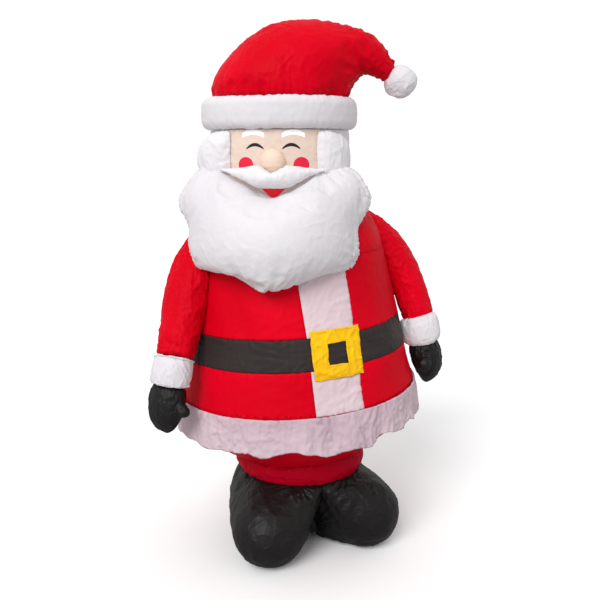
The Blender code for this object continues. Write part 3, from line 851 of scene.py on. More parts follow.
@dataclass
class TurnedCloth:
    """A panel of cloth wrapped round an axis, and closed behind.

    Attributes:
        node: The node of the solid that it stands for.
        matrix: The frame whose Z is the axis.
        outline: Its outline.
        low: Its lower edge.
        high: Its upper edge.
        finish: Its cloth.
        slot: The record's material slot; not used.
        wrinkles: Its puckers and creases.
        half_gap: Half the width left free at the front, at each height, for a panel round the back.
        half_width: Half the width of a panel at the front only.
        cell: The size of its cells.
        depth: The thickness of a front panel.
        seam_heights: Heights of seams inside the panel.
        seed: Which of the many wrinklings it has.
        proud: How far it stands out from the outline.
        drift: How far it wanders sideways for its height.
    """

    node: str
    matrix: Matrix
    outline: Outline
    low: float
    high: float
    finish: ClothFinish
    slot: str
    wrinkles: Wrinkles = field(default_factory=Wrinkles)
    half_gap: Optional[Callable[[np.ndarray], np.ndarray]] = None
    half_width: Optional[float] = None
    cell: float = 0.004
    depth: float = 0.006
    seam_heights: tuple[float, ...] = ()
    seed: int = 1
    proud: float = 0.0
    drift: float = 0.0

    def grid(self) -> tuple[np.ndarray, np.ndarray]:
        """The panel's points in its own frame and their outward directions, by row and column."""
        rows = max(4, round((self.high - self.low) / self.cell))
        height = np.linspace(self.low, self.high, rows + 1)
        radius = self.outline.radius(height) + self.proud
        slope = np.gradient(radius, height)
        if self.half_width is not None:
            reach = np.arcsin(self.half_width / radius)
            columns = max(4, round(2 * self.half_width / self.cell)) + 1
            turn = reach[:, None] * np.linspace(-1, 1, columns)[None, :]
        else:
            gap = self.half_gap(height) if self.half_gap else np.full_like(height, 0.0)
            start = np.arcsin(gap / radius)
            columns = round(math.tau * radius.max() / self.cell)
            share = np.linspace(0, 1, columns + 1)[None, :]
            if self.half_gap is None:
                share = share[:, :-1]
            turn = start[:, None] + (math.tau - 2 * start[:, None]) * share
        turn = turn + (self.drift * (height - self.low) / radius)[:, None]
        across = np.stack([np.sin(turn), -np.cos(turn), np.zeros_like(turn)], axis=-1)
        points = across * radius[:, None, None]
        points[..., 2] = height[:, None]
        outward = across.copy()
        outward[..., 2] = -slope[:, None]
        outward /= np.linalg.norm(outward, axis=-1)[..., None]
        return points, outward

    def seam_points(self, points: np.ndarray) -> np.ndarray:
        """Points along the panel's edges and its inner seams."""
        lines = [points[0], points[-1]]
        if self.half_gap or self.half_width:
            lines += [points[:, 0], points[:, -1]]
        for height in self.seam_heights:
            lines.append(points[np.argmin(np.abs(points[:, 0, 2] - height))])
        dense = []
        for line in lines:
            for share in (0.0, 0.34, 0.67):
                dense.append(line[:-1] + (line[1:] - line[:-1]) * share)
        return np.concatenate(dense)

    def build(self) -> bpy.types.Object:
        """Make, wrinkle and dress the panel."""
        points, outward = self.grid()
        rows, columns = points.shape[:2]
        flat = place(self.matrix, points.reshape(-1, 3))
        away = outward.reshape(-1, 3) @ np.array(self.matrix.to_3x3()).T
        seams = SeamLines(place(self.matrix, self.seam_points(points)))
        shift = self.wrinkles.shift(flat, seams, self.seed)
        front = flat + away * shift[:, None]
        number = np.arange(rows * columns).reshape(rows, columns)
        around = self.half_gap is None and self.half_width is None
        ahead = np.roll(number, -1, axis=1) if around else number[:, 1:]
        here = number if around else number[:, :-1]
        quads = np.stack([here[:-1], ahead[:-1], ahead[1:], here[1:]], axis=-1).reshape(-1, 4).tolist()
        if self.half_width is not None:
            back = flat - away * self.depth
            vertices = np.concatenate([front, back])
            behind = rows * columns
            quads += [[behind + i for i in reversed(quad)] for quad in quads]
            rim = [*number[0], *number[1:, -1], *number[-1, -2::-1], *number[-2:0:-1, 0]]
            for a, b in zip(rim, rim[1:] + rim[:1]):
                quads.append([b, a, behind + a, behind + b])
        else:
            heights = points[:, 0, 2]
            axis = place(self.matrix, np.stack([0 * heights, 0 * heights, heights], axis=1))
            vertices = np.concatenate([front, axis])
            hub = rows * columns
            for row, middle in ((0, hub), (rows - 1, hub + rows - 1)):
                for a, b in zip(here[row], ahead[row]):
                    quads.append([a, b, middle])
            if not around:
                for row in range(rows - 1):
                    for edge in (0, columns - 1):
                        quads.append([number[row, edge], number[row + 1, edge], hub + row + 1, hub + row])
        used = np.unique(np.concatenate([np.array(face) for face in quads]))
        renumber = {old: new for new, old in enumerate(used.tolist())}
        faces = [[renumber[int(i)] for i in face] for face in quads]
        name = self.node + "_cloth"
        obj = shown(name, built(name, vertices[used], faces))
        LOG.info("turned: %s, %d faces", name, len(obj.data.polygons))
        return finished(obj, self.finish, (self.node,))


# ---- Stitches and the hem, by geometry nodes


def stitch_tree() -> bpy.types.NodeTree:
    """The tree that lays stitches along a line."""
    name = "stitches"
    if name in bpy.data.node_groups:
        return bpy.data.node_groups[name]
    group = socketed(
        name,
        "GeometryNodeTree",
        (
            ("Line", "NodeSocketGeometry"),
            ("Spacing", "NodeSocketFloat", 0.004),
            ("Length", "NodeSocketFloat", 0.0028),
            ("Thickness", "NodeSocketFloat", 0.0007),
            ("Thread", "NodeSocketMaterial"),
        ),
        (("Stitches", "NodeSocketGeometry"),),
    )
    wiring = Wiring(group)
    given = wiring.add("NodeGroupInput").outputs
    curve = wiring.add("GeometryNodeMeshToCurve", {0: given["Line"]}).outputs[0]
    feeds = {"Curve": curve, "Length": given["Spacing"]}
    even = wiring.add("GeometryNodeResampleCurve", feeds, mode="LENGTH")
    along = wiring.add("GeometryNodeInputTangent").outputs[0]
    turned = wiring.add("FunctionNodeAlignRotationToVector", {"Vector": along}, axis="X").outputs[0]
    half = wiring.math("MULTIPLY", given["Length"], 0.5)
    thick = wiring.math("MULTIPLY", given["Thickness"], 0.5)
    size = wiring.add("ShaderNodeCombineXYZ", {0: half, 1: thick, 2: thick}).outputs[0]
    bead = wiring.add("GeometryNodeMeshUVSphere", {"Segments": 6, "Rings": 4, "Radius": 1.0}).outputs[0]
    laid = wiring.add(
        "GeometryNodeInstanceOnPoints",
        {"Points": even.outputs[0], "Instance": bead, "Rotation": turned, "Scale": size},
    )
    real = wiring.add("GeometryNodeRealizeInstances", {0: laid.outputs[0]}).outputs[0]
    dyed = wiring.add("GeometryNodeSetMaterial", {"Geometry": real, "Material": given["Thread"]}).outputs[0]
    wiring.add("NodeGroupOutput", {0: dyed})
    return group


def hem_tree() -> bpy.types.NodeTree:
    """The tree that gathers a strip of cloth round the coat and lets its lower edge wave."""
    group = socketed(
        "gathered hem",
        "GeometryNodeTree",
        (
            ("Geometry", "NodeSocketGeometry"),
            ("Seam Radius", "NodeSocketFloat", 0.275),
            ("Drop", "NodeSocketFloat", 0.074),
            ("Flare", "NodeSocketFloat", 0.006),
            ("Fold Depth", "NodeSocketFloat", 0.010),
            ("Folds", "NodeSocketFloat", 5.0),
            ("Edge Wave", "NodeSocketFloat", 0.010),
            ("Columns", "NodeSocketInt", 560),
            ("Rows", "NodeSocketInt", 26),
            ("Seed", "NodeSocketFloat", 3.0),
            ("Cloth", "NodeSocketMaterial"),
        ),
        (("Hem", "NodeSocketGeometry"),),
    )
    wiring = Wiring(group)
    given = wiring.add("NodeGroupInput").outputs
    sizes = {"Size X": 1.0, "Size Y": 1.0, "Vertices X": given["Columns"], "Vertices Y": given["Rows"]}
    grid = wiring.add("GeometryNodeMeshGrid", sizes).outputs["Mesh"]
    where_on = wiring.add("GeometryNodeInputPosition").outputs[0]
    spot = wiring.add("ShaderNodeSeparateXYZ", {0: where_on}).outputs
    turn = wiring.math("MULTIPLY", spot[0], math.tau)
    free = wiring.math("SUBTRACT", 0.5, spot[1])
    sine, cosine = wiring.math("SINE", turn), wiring.math("COSINE", turn)

    def folds(per_turn: Any, along: float, seed: Any) -> bpy.types.NodeSocket:
        """Noise of about -1 to 1 round the strip."""
        round_x = wiring.math("MULTIPLY", sine, per_turn)
        round_y = wiring.math("MULTIPLY", cosine, per_turn)
        down = wiring.math("MULTIPLY", free, along)
        where = wiring.add("ShaderNodeCombineXYZ", {0: round_x, 1: round_y, 2: down}).outputs[0]
        feeds = {"Vector": where, "W": seed, "Scale": 1.0, "Detail": 0.3, "Roughness": 0.5}
        noise = wiring.add("ShaderNodeTexNoise", feeds, noise_dimensions="4D").outputs[0]
        return wiring.spread(noise, 0.25, 0.75, -1.0, 1.0)

    broad = folds(given["Folds"], 0.5, given["Seed"])
    narrow = folds(wiring.math("MULTIPLY", given["Folds"], 2.7), 0.9, wiring.math("ADD", given["Seed"], 5.0))
    sharp = wiring.math("SUBTRACT", 0.4, wiring.math("ABSOLUTE", narrow))
    both = wiring.math("MULTIPLY_ADD", sharp, 0.55, broad)
    opening = wiring.math("POWER", free, 0.7)
    flare = wiring.math("MULTIPLY", wiring.math("MULTIPLY", given["Fold Depth"], both), opening)
    out = wiring.math("MULTIPLY_ADD", given["Flare"], opening, given["Seam Radius"])
    radius = wiring.math("ADD", out, flare)
    edge = folds(wiring.math("MULTIPLY", given["Folds"], 0.8), 0.0, wiring.math("ADD", given["Seed"], 9.0))
    lift = wiring.math("MULTIPLY", wiring.math("MULTIPLY", edge, given["Edge Wave"]), free)
    fallen = wiring.math("MULTIPLY", given["Drop"], free)
    height = wiring.math("SUBTRACT", lift, fallen)
    place_x = wiring.math("MULTIPLY", radius, sine)
    place_y = wiring.math("MULTIPLY", wiring.math("MULTIPLY", radius, cosine), -1.0)
    moved = wiring.add("ShaderNodeCombineXYZ", {0: place_x, 1: place_y, 2: height}).outputs[0]
    wrapped = wiring.add("GeometryNodeSetPosition", {"Geometry": grid, "Position": moved}).outputs[0]
    joined = wiring.add("GeometryNodeMergeByDistance", {"Geometry": wrapped, "Distance": 0.0002}).outputs[0]
    real = wiring.add("GeometryNodeRealizeInstances", {0: joined}).outputs[0]
    dyed = wiring.add("GeometryNodeSetMaterial", {"Geometry": real, "Material": given["Cloth"]}).outputs[0]
    wiring.add("NodeGroupOutput", {0: dyed})
    return group


def grown(
    name: str,
    mesh: bpy.types.Mesh,
    tree: bpy.types.NodeTree,
    values: dict[str, Any],
) -> bpy.types.Object:
    """A piece made by a geometry tree.

    Args:
        name: Its name.
        mesh: What goes into the tree.
        tree: The tree.
        values: The tree's inputs by name.

    Returns:
        The piece, with no modifier left on it.
    """
    obj = shown(name, mesh)
    step = obj.modifiers.new(tree.name, "NODES")
    step.node_group = tree
    for item in tree.interface.items_tree:
        if item.item_type == "SOCKET" and item.in_out == "INPUT" and item.name in values:
            step[item.identifier] = values[item.name]
    return applied(obj)


def stitched(name: str, lines: Sequence[np.ndarray], finish: ClothFinish) -> bpy.types.Object:
    """A run of stitches along closed lines of points.

    Args:
        name: The piece's name.
        lines: Closed lines, each an array of points.
        finish: The thread.

    Returns:
        The stitches.
    """
    edges, start = [], 0
    for line in lines:
        count = len(line)
        edges += [(start + i, start + (i + 1) % count) for i in range(count)]
        start += count
    mesh = bpy.data.meshes.new(name)
    mesh.from_pydata(np.concatenate(lines).tolist(), edges, [])
    obj = grown(name, mesh, stitch_tree(), {"Thread": finish.material()})
    return finished(obj, finish, ())


# ---- The figure's own pieces


@dataclass
class Boots:
    """The two boots, the trousers between them and the coat, and the tether tab."""

    ankle_height: float = 0.168
    ankle_forward: float = 0.125
    ankle_outward: float = 0.055
    fork_height: float = 0.05

    def pieces(self) -> list[BlownPiece]:
        """The blown-up pieces."""
        made = []
        for number, (side, sign) in enumerate(((Side.RIGHT, -1), (Side.LEFT, 1))):
            x = AXIS.x + sign * self.ankle_outward
            gathers = (
                Gather((x, AXIS.y - self.ankle_forward, self.ankle_height), 0.13, 0.0060, 2.8),
                Gather((AXIS.x + sign * 0.004, AXIS.y - 0.09, self.fork_height), 0.13, 0.0055, 3.2),
            )
            wrinkles = Wrinkles(
                tuck=0.001, pucker=0.0016, crease=0.0014, crease_size=0.045, swell=0.002, gathers=gathers)
            made.append(BlownPiece(
                f"boot_{side.value}", BLACK, "black_cloth", wrinkles=wrinkles, smoothing=14, cap=0.008,
                floor=0.0003, seed=40 + 10 * number))
        folds = Wrinkles(
            tuck=0.001, pucker=0.0006, crease=0.0016, crease_size=0.045, stretch=(5.0, 5.0, 0.6), swell=0.001)
        # The trousers wear the darkened red, painted shade where the coat shades them.
        made.append(BlownPiece(
            "trousers", SHADED_RED, "red_cloth", voxel=0.004, wrinkles=folds, cap=0.004, seed=61))
        return made

    def dress_tab(self) -> None:
        """Give the tether tab its cloth."""
        node = frame["nodes"]["tether_tab"]
        node.data.materials.clear()
        node.data.materials.append(BLACK.material())


@dataclass
class Coat:
    """The coat with its front strip, belt, buckle and hem.

    Attributes:
        belt_low: The belt's lower edge above the hips.
        belt_width: Its width.
        placket_width: The front strip's width.
        placket_top: Its upper end.
        hem_seam: The height of the hem's seam.
        hem_length: The hem's drop.
        hem_lift: How far the hem's seam stands off the coat.
        hem_cloth: The thickness of its cloth.
        fullness: The hem's flat length as a share of its seam; not used.
        buckle_size: The buckle patch's width and height.
        buckle_window: The side of its square window.
        buckle_shift: How far it is sewn to the side.
        buckle_drop: How far it is sewn below the belt's middle.
        buckle_lift: How far it stands off the belt.
        buckle_cell: The size of its cells.
        buckle_cloth: The thickness of its cloth.
        crumple: How far its edges wander.
        stitch_inset: How far its stitches lie from its edges.
        stitch_lift: How far a thread's middle stands out of its cloth.
        gap: The gap between two panels.
        strip_drift: How far the upper panels lean sideways for their height.
        seed: Which of the many wrinklings the coat has.
    """

    belt_low: float = 0.252
    belt_width: float = 0.065
    placket_width: float = 0.105
    placket_top: float = 0.470
    hem_seam: float = 0.160
    hem_length: float = 0.074
    hem_lift: float = 0.0022
    hem_cloth: float = 0.0010
    fullness: float = 1.08
    buckle_size: tuple[float, float] = (0.110, 0.099)
    buckle_window: float = 0.042
    buckle_shift: float = 0.0070
    buckle_drop: float = 0.002
    buckle_lift: float = 0.0030
    buckle_cell: float = 0.002
    buckle_cloth: float = 0.0016
    crumple: float = 0.0020
    stitch_inset: float = 0.004
    stitch_lift: float = 0.0014
    gap: float = 0.0006
    strip_drift: float = -0.045
    seed: int = 70

    def outline(self) -> Outline:
        """The outline of the whole coat."""
        heights, radii = ring_profile(("coat_lower", "belt", "coat_upper"), TORSO)
        return Outline(heights, radii, blur=0.022)

    def build(self) -> None:
        """Make every panel of the coat."""
        outline = self.outline()
        belt_high = self.belt_low + self.belt_width
        half = self.placket_width / 2

        def slot_between(low: float, high: float) -> Callable[[np.ndarray], np.ndarray]:
            """Half the width left free for the front strip at each height."""
            return lambda height: np.where((height > low) & (height < high), half + self.gap, SLIT)

        panel = Wrinkles(
            tuck=0.0008, tuck_width=0.004, pucker=0.0012, pucker_size=0.011, reach=0.018, crease=0.0008,
            crease_size=0.036, swell=0.002)
        girth = replace(panel, crease=0.0014, crease_size=0.024, stretch=(3.0, 3.0, 0.5))
        strip = replace(panel, crease=0.0014, crease_size=0.028)
        under, over = self.belt_low - self.gap, belt_high + self.gap
        lower = {"half_gap": slot_between(self.hem_seam, 1.0), "seam_heights": (self.hem_seam,)}
        upper = {"half_gap": slot_between(0.0, self.placket_top), "drift": self.strip_drift}
        narrow = {"half_width": half, "cell": 0.003}
        for node, low, high, finish, slot, wrinkles, more in (
            ("coat_lower", 0.0, under, RED, "red_cloth", panel, lower),
            ("belt", self.belt_low, belt_high, BELT, "belt_cloth", girth, {"cell": 0.0035}),
            ("coat_upper", over, COAT_HEIGHT, RED, "red_cloth", panel, upper),
            ("placket_lower", self.hem_seam, under, PINK_WHITE, "hem_cloth", strip, narrow),
            ("placket_upper", over, self.placket_top, PINK_WHITE, "hem_cloth", strip,
             {**narrow, "drift": self.strip_drift}),
        ):
            TurnedCloth(
                node, TORSO, outline, low, high, finish, slot, wrinkles, seed=self.seed, **more).build()
        self.build_buckle(outline)
        self.build_hem(outline)

    def build_buckle(self, outline: Outline) -> None:
        """Make the square patch with its window, and the stitches round both."""
        middle = self.belt_low + self.belt_width / 2 - self.buckle_drop
        width, height = self.buckle_size
        cell = self.buckle_cell
        columns, rows = round(width / cell), round(height / cell)
        x = np.linspace(-width / 2, width / 2, columns + 1)
        z = np.linspace(-height / 2, height / 2, rows + 1)
        grid_x, grid_z = (part.ravel() for part in np.meshgrid(x, z))

        def laid(at_x: np.ndarray, at_z: np.ndarray, lift: Any) -> np.ndarray:
            """Places on the belt for places on the flat patch."""
            spots = np.stack([at_x, at_z, 0 * at_x], axis=1)
            wave = self.crumple * cloth_noise(spots / 0.022, 80)
            sway = self.crumple * cloth_noise(spots / 0.026, 81)
            radius = outline.radius(middle + at_z) + self.buckle_lift + lift
            turn = (self.buckle_shift + at_x + wave) / radius
            local = np.stack([radius * np.sin(turn), -radius * np.cos(turn), middle + at_z + sway], axis=1)
            return place(TORSO, local)

        flat = np.stack([grid_x, grid_z, 0 * grid_x], axis=1)
        ripple = 0.0022 * crests(cloth_noise(flat / 0.034, 82))
        ripple += 0.0014 * crests(cloth_noise(flat / 0.018, 83))
        hole = self.buckle_window / 2
        keep = []
        for row, column in itertools.product(range(rows), range(columns)):
            inside = abs(x[column] + cell / 2) < hole and abs(z[row] + cell / 2) < hole
            if not inside:
                first = row * (columns + 1) + column
                keep.append([first, first + 1, first + columns + 2, first + columns + 1])
        points = laid(grid_x, grid_z, ripple)
        used = sorted({corner for face in keep for corner in face})
        renumber = {old: new for new, old in enumerate(used)}
        faces = [[renumber[i] for i in face] for face in keep]
        buckle = shown("buckle_cloth", built("buckle_cloth", points[used], faces, closed=False))
        thick = buckle.modifiers.new("cloth", "SOLIDIFY")
        thick.thickness = self.buckle_cloth
        thick.offset = -1.0
        applied(buckle)
        finished(buckle, YELLOW, ("buckle",))
        runs = []
        inset = self.stitch_inset
        for reach_x, reach_z in ((width / 2 - inset, height / 2 - inset), (hole + inset, hole + inset)):
            corners = [(-reach_x, -reach_z), (reach_x, -reach_z), (reach_x, reach_z), (-reach_x, reach_z)]
            line = []
            for (x0, z0), (x1, z1) in zip(corners, corners[1:] + corners[:1]):
                line += [(x0 + (x1 - x0) * k / 24, z0 + (z1 - z0) * k / 24) for k in range(24)]
            flat_line = np.array(line)
            runs.append(laid(flat_line[:, 0], flat_line[:, 1], self.stitch_lift))
        thread = stitched("buckle_stitches", runs, GOLD_THREAD)
        LOG.info("buckle: %d faces", len(buckle.data.polygons))

    def build_hem(self, outline: Outline) -> None:
        """Make the loose gathered strip and its line of thread."""
        seam_radius = float(outline.radius(np.array(self.hem_seam))) + self.hem_lift
        values = {
            "Seam Radius": seam_radius,
            "Drop": self.hem_length,
            "Flare": 0.007,
            "Fold Depth": 0.0075,
            "Folds": 5.2,
            "Edge Wave": 0.011,
            "Columns": 560,
            "Rows": 26,
            "Seed": 3.0,
            "Cloth": HEM_WHITE.material(),
        }
        hem = grown("hem_cloth", bpy.data.meshes.new("hem"), hem_tree(), values)
        points = place(TORSO, coordinates(hem.data) + np.array([0.0, 0.0, self.hem_seam]))
        put_coordinates(hem.data, points)
        top = points[np.abs(place(TORSO.inverted(), points)[:, 2] - self.hem_seam) < 0.001]
        creases = Wrinkles(
            tuck=0.0006, pucker=0.0026, pucker_size=0.011, reach=0.024, crease=0.0026, crease_size=0.022,
            stretch=(1.0, 1.0, 1.7), swell=0.0)
        shift = creases.shift(points, SeamLines(top), 90)
        put_coordinates(hem.data, points + directions(hem.data) * np.abs(shift)[:, None])
        thick = hem.modifiers.new("cloth", "SOLIDIFY")
        thick.thickness = self.hem_cloth
        thick.offset = 0.0
        applied(hem)
        hem.data.shade_smooth()
        finished(hem, HEM_WHITE, ("hem",))
        turns = np.linspace(0, math.tau, 400, endpoint=False)
        ring = np.stack([np.sin(turns), -np.cos(turns), 0 * turns], axis=1) * (seam_radius + 0.0012)
        ring[:, 2] = self.hem_seam - 0.002
        thread = stitched("hem_stitches", [place(TORSO, ring)], THREAD)
        LOG.info("hem: %d faces", len(hem.data.polygons))


@dataclass
class Arms:
    """The sleeves, cuffs and mittens."""

    def pieces(self) -> list[BlownPiece]:
        """The blown-up pieces of both arms."""
        made = []
        for number, side in enumerate(Side):
            name = side.value
            left = side is Side.LEFT
            lifted = Vector((-0.010, 0.0, 0.013)) if left else Vector((0.0, 0.0, 0.003))
            wrist = Vector((0.300, -0.090, 0.500)) if left else Vector((-0.300, -0.090, 0.460))
            raised = (Push(wrist, 1.0, lifted),)
            sleeve = Wrinkles(
                pucker=0.0014, reach=0.02, crease=0.0020, crease_size=0.030, stretch=(0.8, 0.8, 1.5),
                swell=0.002)
            made.append(BlownPiece(
                "sleeve_" + name, RED, "red_cloth", voxel=0.004, wrinkles=sleeve, cap=0.004,
                pushes=(Push(wrist, 0.11, lifted),), seed=100 + 10 * number))
            cuff = Wrinkles(
                tuck=0.0003, tuck_width=0.003, pucker=0.0005, pucker_size=0.009, reach=0.014, crease=0.0014,
                crease_size=0.022, stretch=(1.0, 1.0, 2.0), swell=0.001)
            made.append(BlownPiece(
                "cuff_" + name, WHITE, "white_cloth", voxel=0.0025, wrinkles=cuff, smoothing=3, relaxing=10,
                swollen=0.003 if left else 0.0, shrunk=0.002 if left else 0.007, cap=0.0015, pushes=raised,
                seed=103 + 10 * number))
            mitten = Wrinkles(
                pucker=0.0018, pucker_size=0.010, reach=0.03, crease=0.0022, crease_size=0.022,
                stretch=(1.0, 1.0, 2.5), swell=0.001)
            made.append(BlownPiece(
                "mitten_" + name, BLACK, "black_cloth", voxel=0.003, wrinkles=mitten, cap=0.003,
                swollen=0.006 if left else 0.003, pushes=raised, seed=106 + 10 * number))
        return made


def head_push(centre: Sequence[float], reach: float, move: Sequence[float]) -> Push:
    """A soft push given in the turned head's own frame."""
    return Push(HEAD @ Vector(centre), reach, HEAD.to_3x3() @ Vector(move))


@dataclass
class Head:
    """The head, its face, hair, beard, moustache and nose.

    Attributes:
        height: How high the face reaches above the neck.
        face_width: The face panel's width.
        face_bottom: Its lower edge.
        gap: The gap round it.
        chin: The chin's place in the head's own frame, which folds radiate from.
        corner: The lower corner of the beard, which folds radiate from too.
        mouth: The middle of the mouth.
        brow: Where a brow starts and ends beside the nose, the height of its feet, its rise, half its
            thickness and how far its ends thin.
        eye: The same for an eye.
        cheek_place: A cheek's middle.
        cheek_radius: Its radius.
        mouth_top: The height of the mouth's upper edge.
        mouth_tip: The height of its lower tip.
        mouth_slope: How steeply its sides run up from there.
        crispness: How fast a printed edge changes colour.
        rim_angle: How sharp the edge of a puffed piece is.
    """

    height: float = 0.156
    face_width: float = 0.190
    face_bottom: float = 0.015
    gap: float = 0.0006
    chin: tuple[float, ...] = (0.0, -0.21, -0.150)
    corner: tuple[float, ...] = (0.150, -0.15, -0.110)
    mouth: tuple[float, ...] = (0.0, -0.185, 0.040)
    brow: tuple[float, ...] = (0.018, 0.064, 0.1440, 0.0070, 0.0052, 0.15)
    eye: tuple[float, ...] = (0.0185, 0.0555, 0.1175, 0.0086, 0.0034, 0.60)
    cheek_place: tuple[float, float] = (0.057, 0.0855)
    cheek_radius: float = 0.0160
    mouth_top: float = 0.0380
    mouth_tip: float = 0.0140
    mouth_slope: float = 0.973
    crispness: float = 60.0
    rim_angle: float = math.radians(60)

    def pieces(self) -> list[BlownPiece]:
        """The blown-up pieces of the hair, beard, moustache and nose."""
        chin, corner = (tuple(HEAD @ Vector(spot)) for spot in (self.chin, self.corner))
        beard = Wrinkles(
            tuck=0.0, pucker=0.0018, pucker_size=0.010, reach=0.024, crease=0.0006, crease_size=0.040,
            swell=0.0012, gathers=(Gather(chin, 0.13, 0.0080, 2.8), Gather(corner, 0.09, 0.0055, 2.8)))
        hair = Wrinkles(
            tuck=0.0, pucker=0.0010, pucker_size=0.012, reach=0.022, crease=0.0012, crease_size=0.040)
        opened = [
            head_push(self.mouth, 0.034, (0.0, 0.016, -0.014)),
            head_push(self.chin, 0.045, (-0.010, -0.002, -0.012)),
            head_push((-0.205, -0.13, -0.035), 0.080, (-0.012, 0.0, 0.0)),
        ]
        pulled = [head_push((0.0, -0.17, 0.07), 1.0, (0.0, -0.007, 0.0))]
        for sign in (-1, 1):
            opened.append(head_push((sign * 0.165, -0.12, 0.045), 0.045, (0.0, 0.0, 0.009)))
            pulled.append(head_push((sign * 0.105, -0.130, 0.077), 0.035, (sign * 0.014, 0.004, 0.0)))
        lip = Wrinkles(
            tuck=0.0, pucker=0.0010, pucker_size=0.010, reach=0.012, crease=0.0008, crease_size=0.02,
            swell=0.001)
        ball = Wrinkles(tuck=0.0008, pucker=0.0010, pucker_size=0.006, reach=0.008, crease=0.0003, swell=0.0)
        made = [
            BlownPiece(
                "beard", WHITE, "white_cloth", 0.004, beard, edge_angle=self.rim_angle, swollen=0.003,
                smoothing=4, relaxing=60, cap=0.008, slack=0.03, pushes=tuple(opened), seed=130),
            BlownPiece(
                "moustache", LIT_WHITE, "white_cloth", 0.0025, lip, edge_angle=self.rim_angle, swollen=0.002,
                smoothing=2, relaxing=10, cap=0.003, pushes=tuple(pulled), seed=140),
            BlownPiece("nose", NOSE, "face_cloth", 0.002, ball, smoothing=4, cap=0.001, shrunk=0.0, seed=150),
        ]
        for number, side in enumerate(Side):
            sign = 1 if side is Side.LEFT else -1
            inward = -0.028 if side is Side.LEFT else 0.010
            tucked = (
                head_push((sign * 0.185, -0.04, 0.085), 0.085, (inward, 0.0, 0.0)),
                head_push((sign * 0.140, -0.10, 0.040), 0.050, (0.0, 0.0, -0.012)))
            made.append(BlownPiece(
                "hair_" + side.value, LIT_WHITE, "white_cloth", 0.0035, hair, edge_angle=self.rim_angle,
                swollen=0.003, smoothing=3, relaxing=24, cap=0.005, pushes=tucked,
                seed=160 + 10 * number))
        return made

    def features(self, x: np.ndarray, z: np.ndarray) -> np.ndarray:
        """How far inside the brows, eyes, cheeks and mouth each place of the face lies.

        Args:
            x: Places across the face.
            z: Their heights above the neck.

        Returns:
            Four values for each place, over one half inside a feature.
        """
        side = np.abs(x)

        def arc(shape: Sequence[float]) -> np.ndarray:
            """How far inside a bowed band that thins towards its ends."""
            inner, outer, foot, rise, thick, taper = shape
            middle, half = (inner + outer) / 2, (outer - inner) / 2
            share = (side - middle) / half
            centre = foot + rise * (1 - share**2)
            width = thick * (1 - taper * np.abs(share) ** 2.5)
            ends = (1 - np.abs(share)) * half
            return np.minimum(width - np.abs(z - centre), ends)

        cheek_x, cheek_z = self.cheek_place
        cheek = self.cheek_radius - np.hypot(side - cheek_x, z - cheek_z)
        mouth = np.minimum(self.mouth_top - z, z - self.mouth_tip - self.mouth_slope * side)
        stack = np.stack([arc(self.brow), arc(self.eye), cheek, mouth], axis=1)
        return np.clip(0.5 + stack * self.crispness, 0.0, 1.0)

    def build(self) -> None:
        """Make the head's own cloth and the face."""
        heights, radii = ring_profile(("head",), HEAD)
        outline = Outline(heights, radii, blur=0.012)
        half = self.face_width / 2
        skull = Wrinkles(pucker=0.0014, reach=0.02, crease=0.0008, crease_size=0.035)
        TurnedCloth(
            "head", HEAD, outline, float(heights[0]), self.height, WHITE, "white_cloth", skull,
            half_gap=lambda height: np.where(height > self.face_bottom, half + self.gap, SLIT),
            seed=120).build()
        skin = Wrinkles(
            tuck=0.0006, tuck_width=0.003, pucker=0.0007, pucker_size=0.010, reach=0.012, crease=0.0007,
            crease_size=0.026, swell=0.0006)
        face = TurnedCloth(
            "face", HEAD, outline, self.face_bottom, self.height, FACE, "face_cloth", skin,
            half_width=half, cell=0.0015, seed=121).build()
        local = place(HEAD.inverted(), coordinates(face.data))
        values = self.features(local[:, 0], local[:, 2])
        layer = face.data.color_attributes.new("features", "FLOAT_COLOR", "POINT")
        layer.data.foreach_set("color", values.astype(np.float32).ravel())


@dataclass
class Hat:
    """The hat, its band and its pompom.

    Attributes:
        band_trim: How much lower the cloth band is than its solid, at each edge.
        bend: The inside of the hat's bend in the head's own frame, which folds radiate from.
    """

    band_trim: float = 0.002
    bend: tuple[float, ...] = (0.200, 0.0, 0.262)

    def pieces(self) -> list[BlownPiece]:
        """The blown-up hat and pompom."""
        bend = HEAD @ Vector(self.bend)
        cloth = Wrinkles(
            tuck=0.0020, pucker=0.0040, pucker_size=0.019, reach=0.020, crease=0.0009, crease_size=0.034,
            swell=0.002, gathers=(Gather(tuple(bend), 0.14, 0.0060, 3.6),))
        tuft = Wrinkles(
            tuck=0.001, pucker=0.0026, pucker_size=0.012, reach=0.02, crease=0.0022, crease_size=0.030,
            swell=0.003)
        return [
            BlownPiece(
                "hat", RED, "red_cloth", wrinkles=cloth, seaming=Seaming.EDGES_AND_HALVES, halves=HEAD,
                smoothing=10, cap=0.006, seed=180),
            BlownPiece("pompom", WHITE, "white_cloth", 0.0025, tuft, cap=0.003, seed=190),
        ]

    def build(self) -> None:
        """Make the band."""
        heights, radii = ring_profile(("hat_band",), HEAD)
        band = Wrinkles(
            tuck=0.0006, pucker=0.0014, pucker_size=0.012, reach=0.014, crease=0.0007, crease_size=0.040,
            swell=0.0014)
        low, high = float(heights[0]) + self.band_trim, float(heights[-1]) - self.band_trim
        TurnedCloth(
            "hat_band", HEAD, Outline(heights, radii, blur=0.005), low, high, WHITE, "white_cloth", band,
            cell=0.0035, proud=-0.003, seed=181).build()


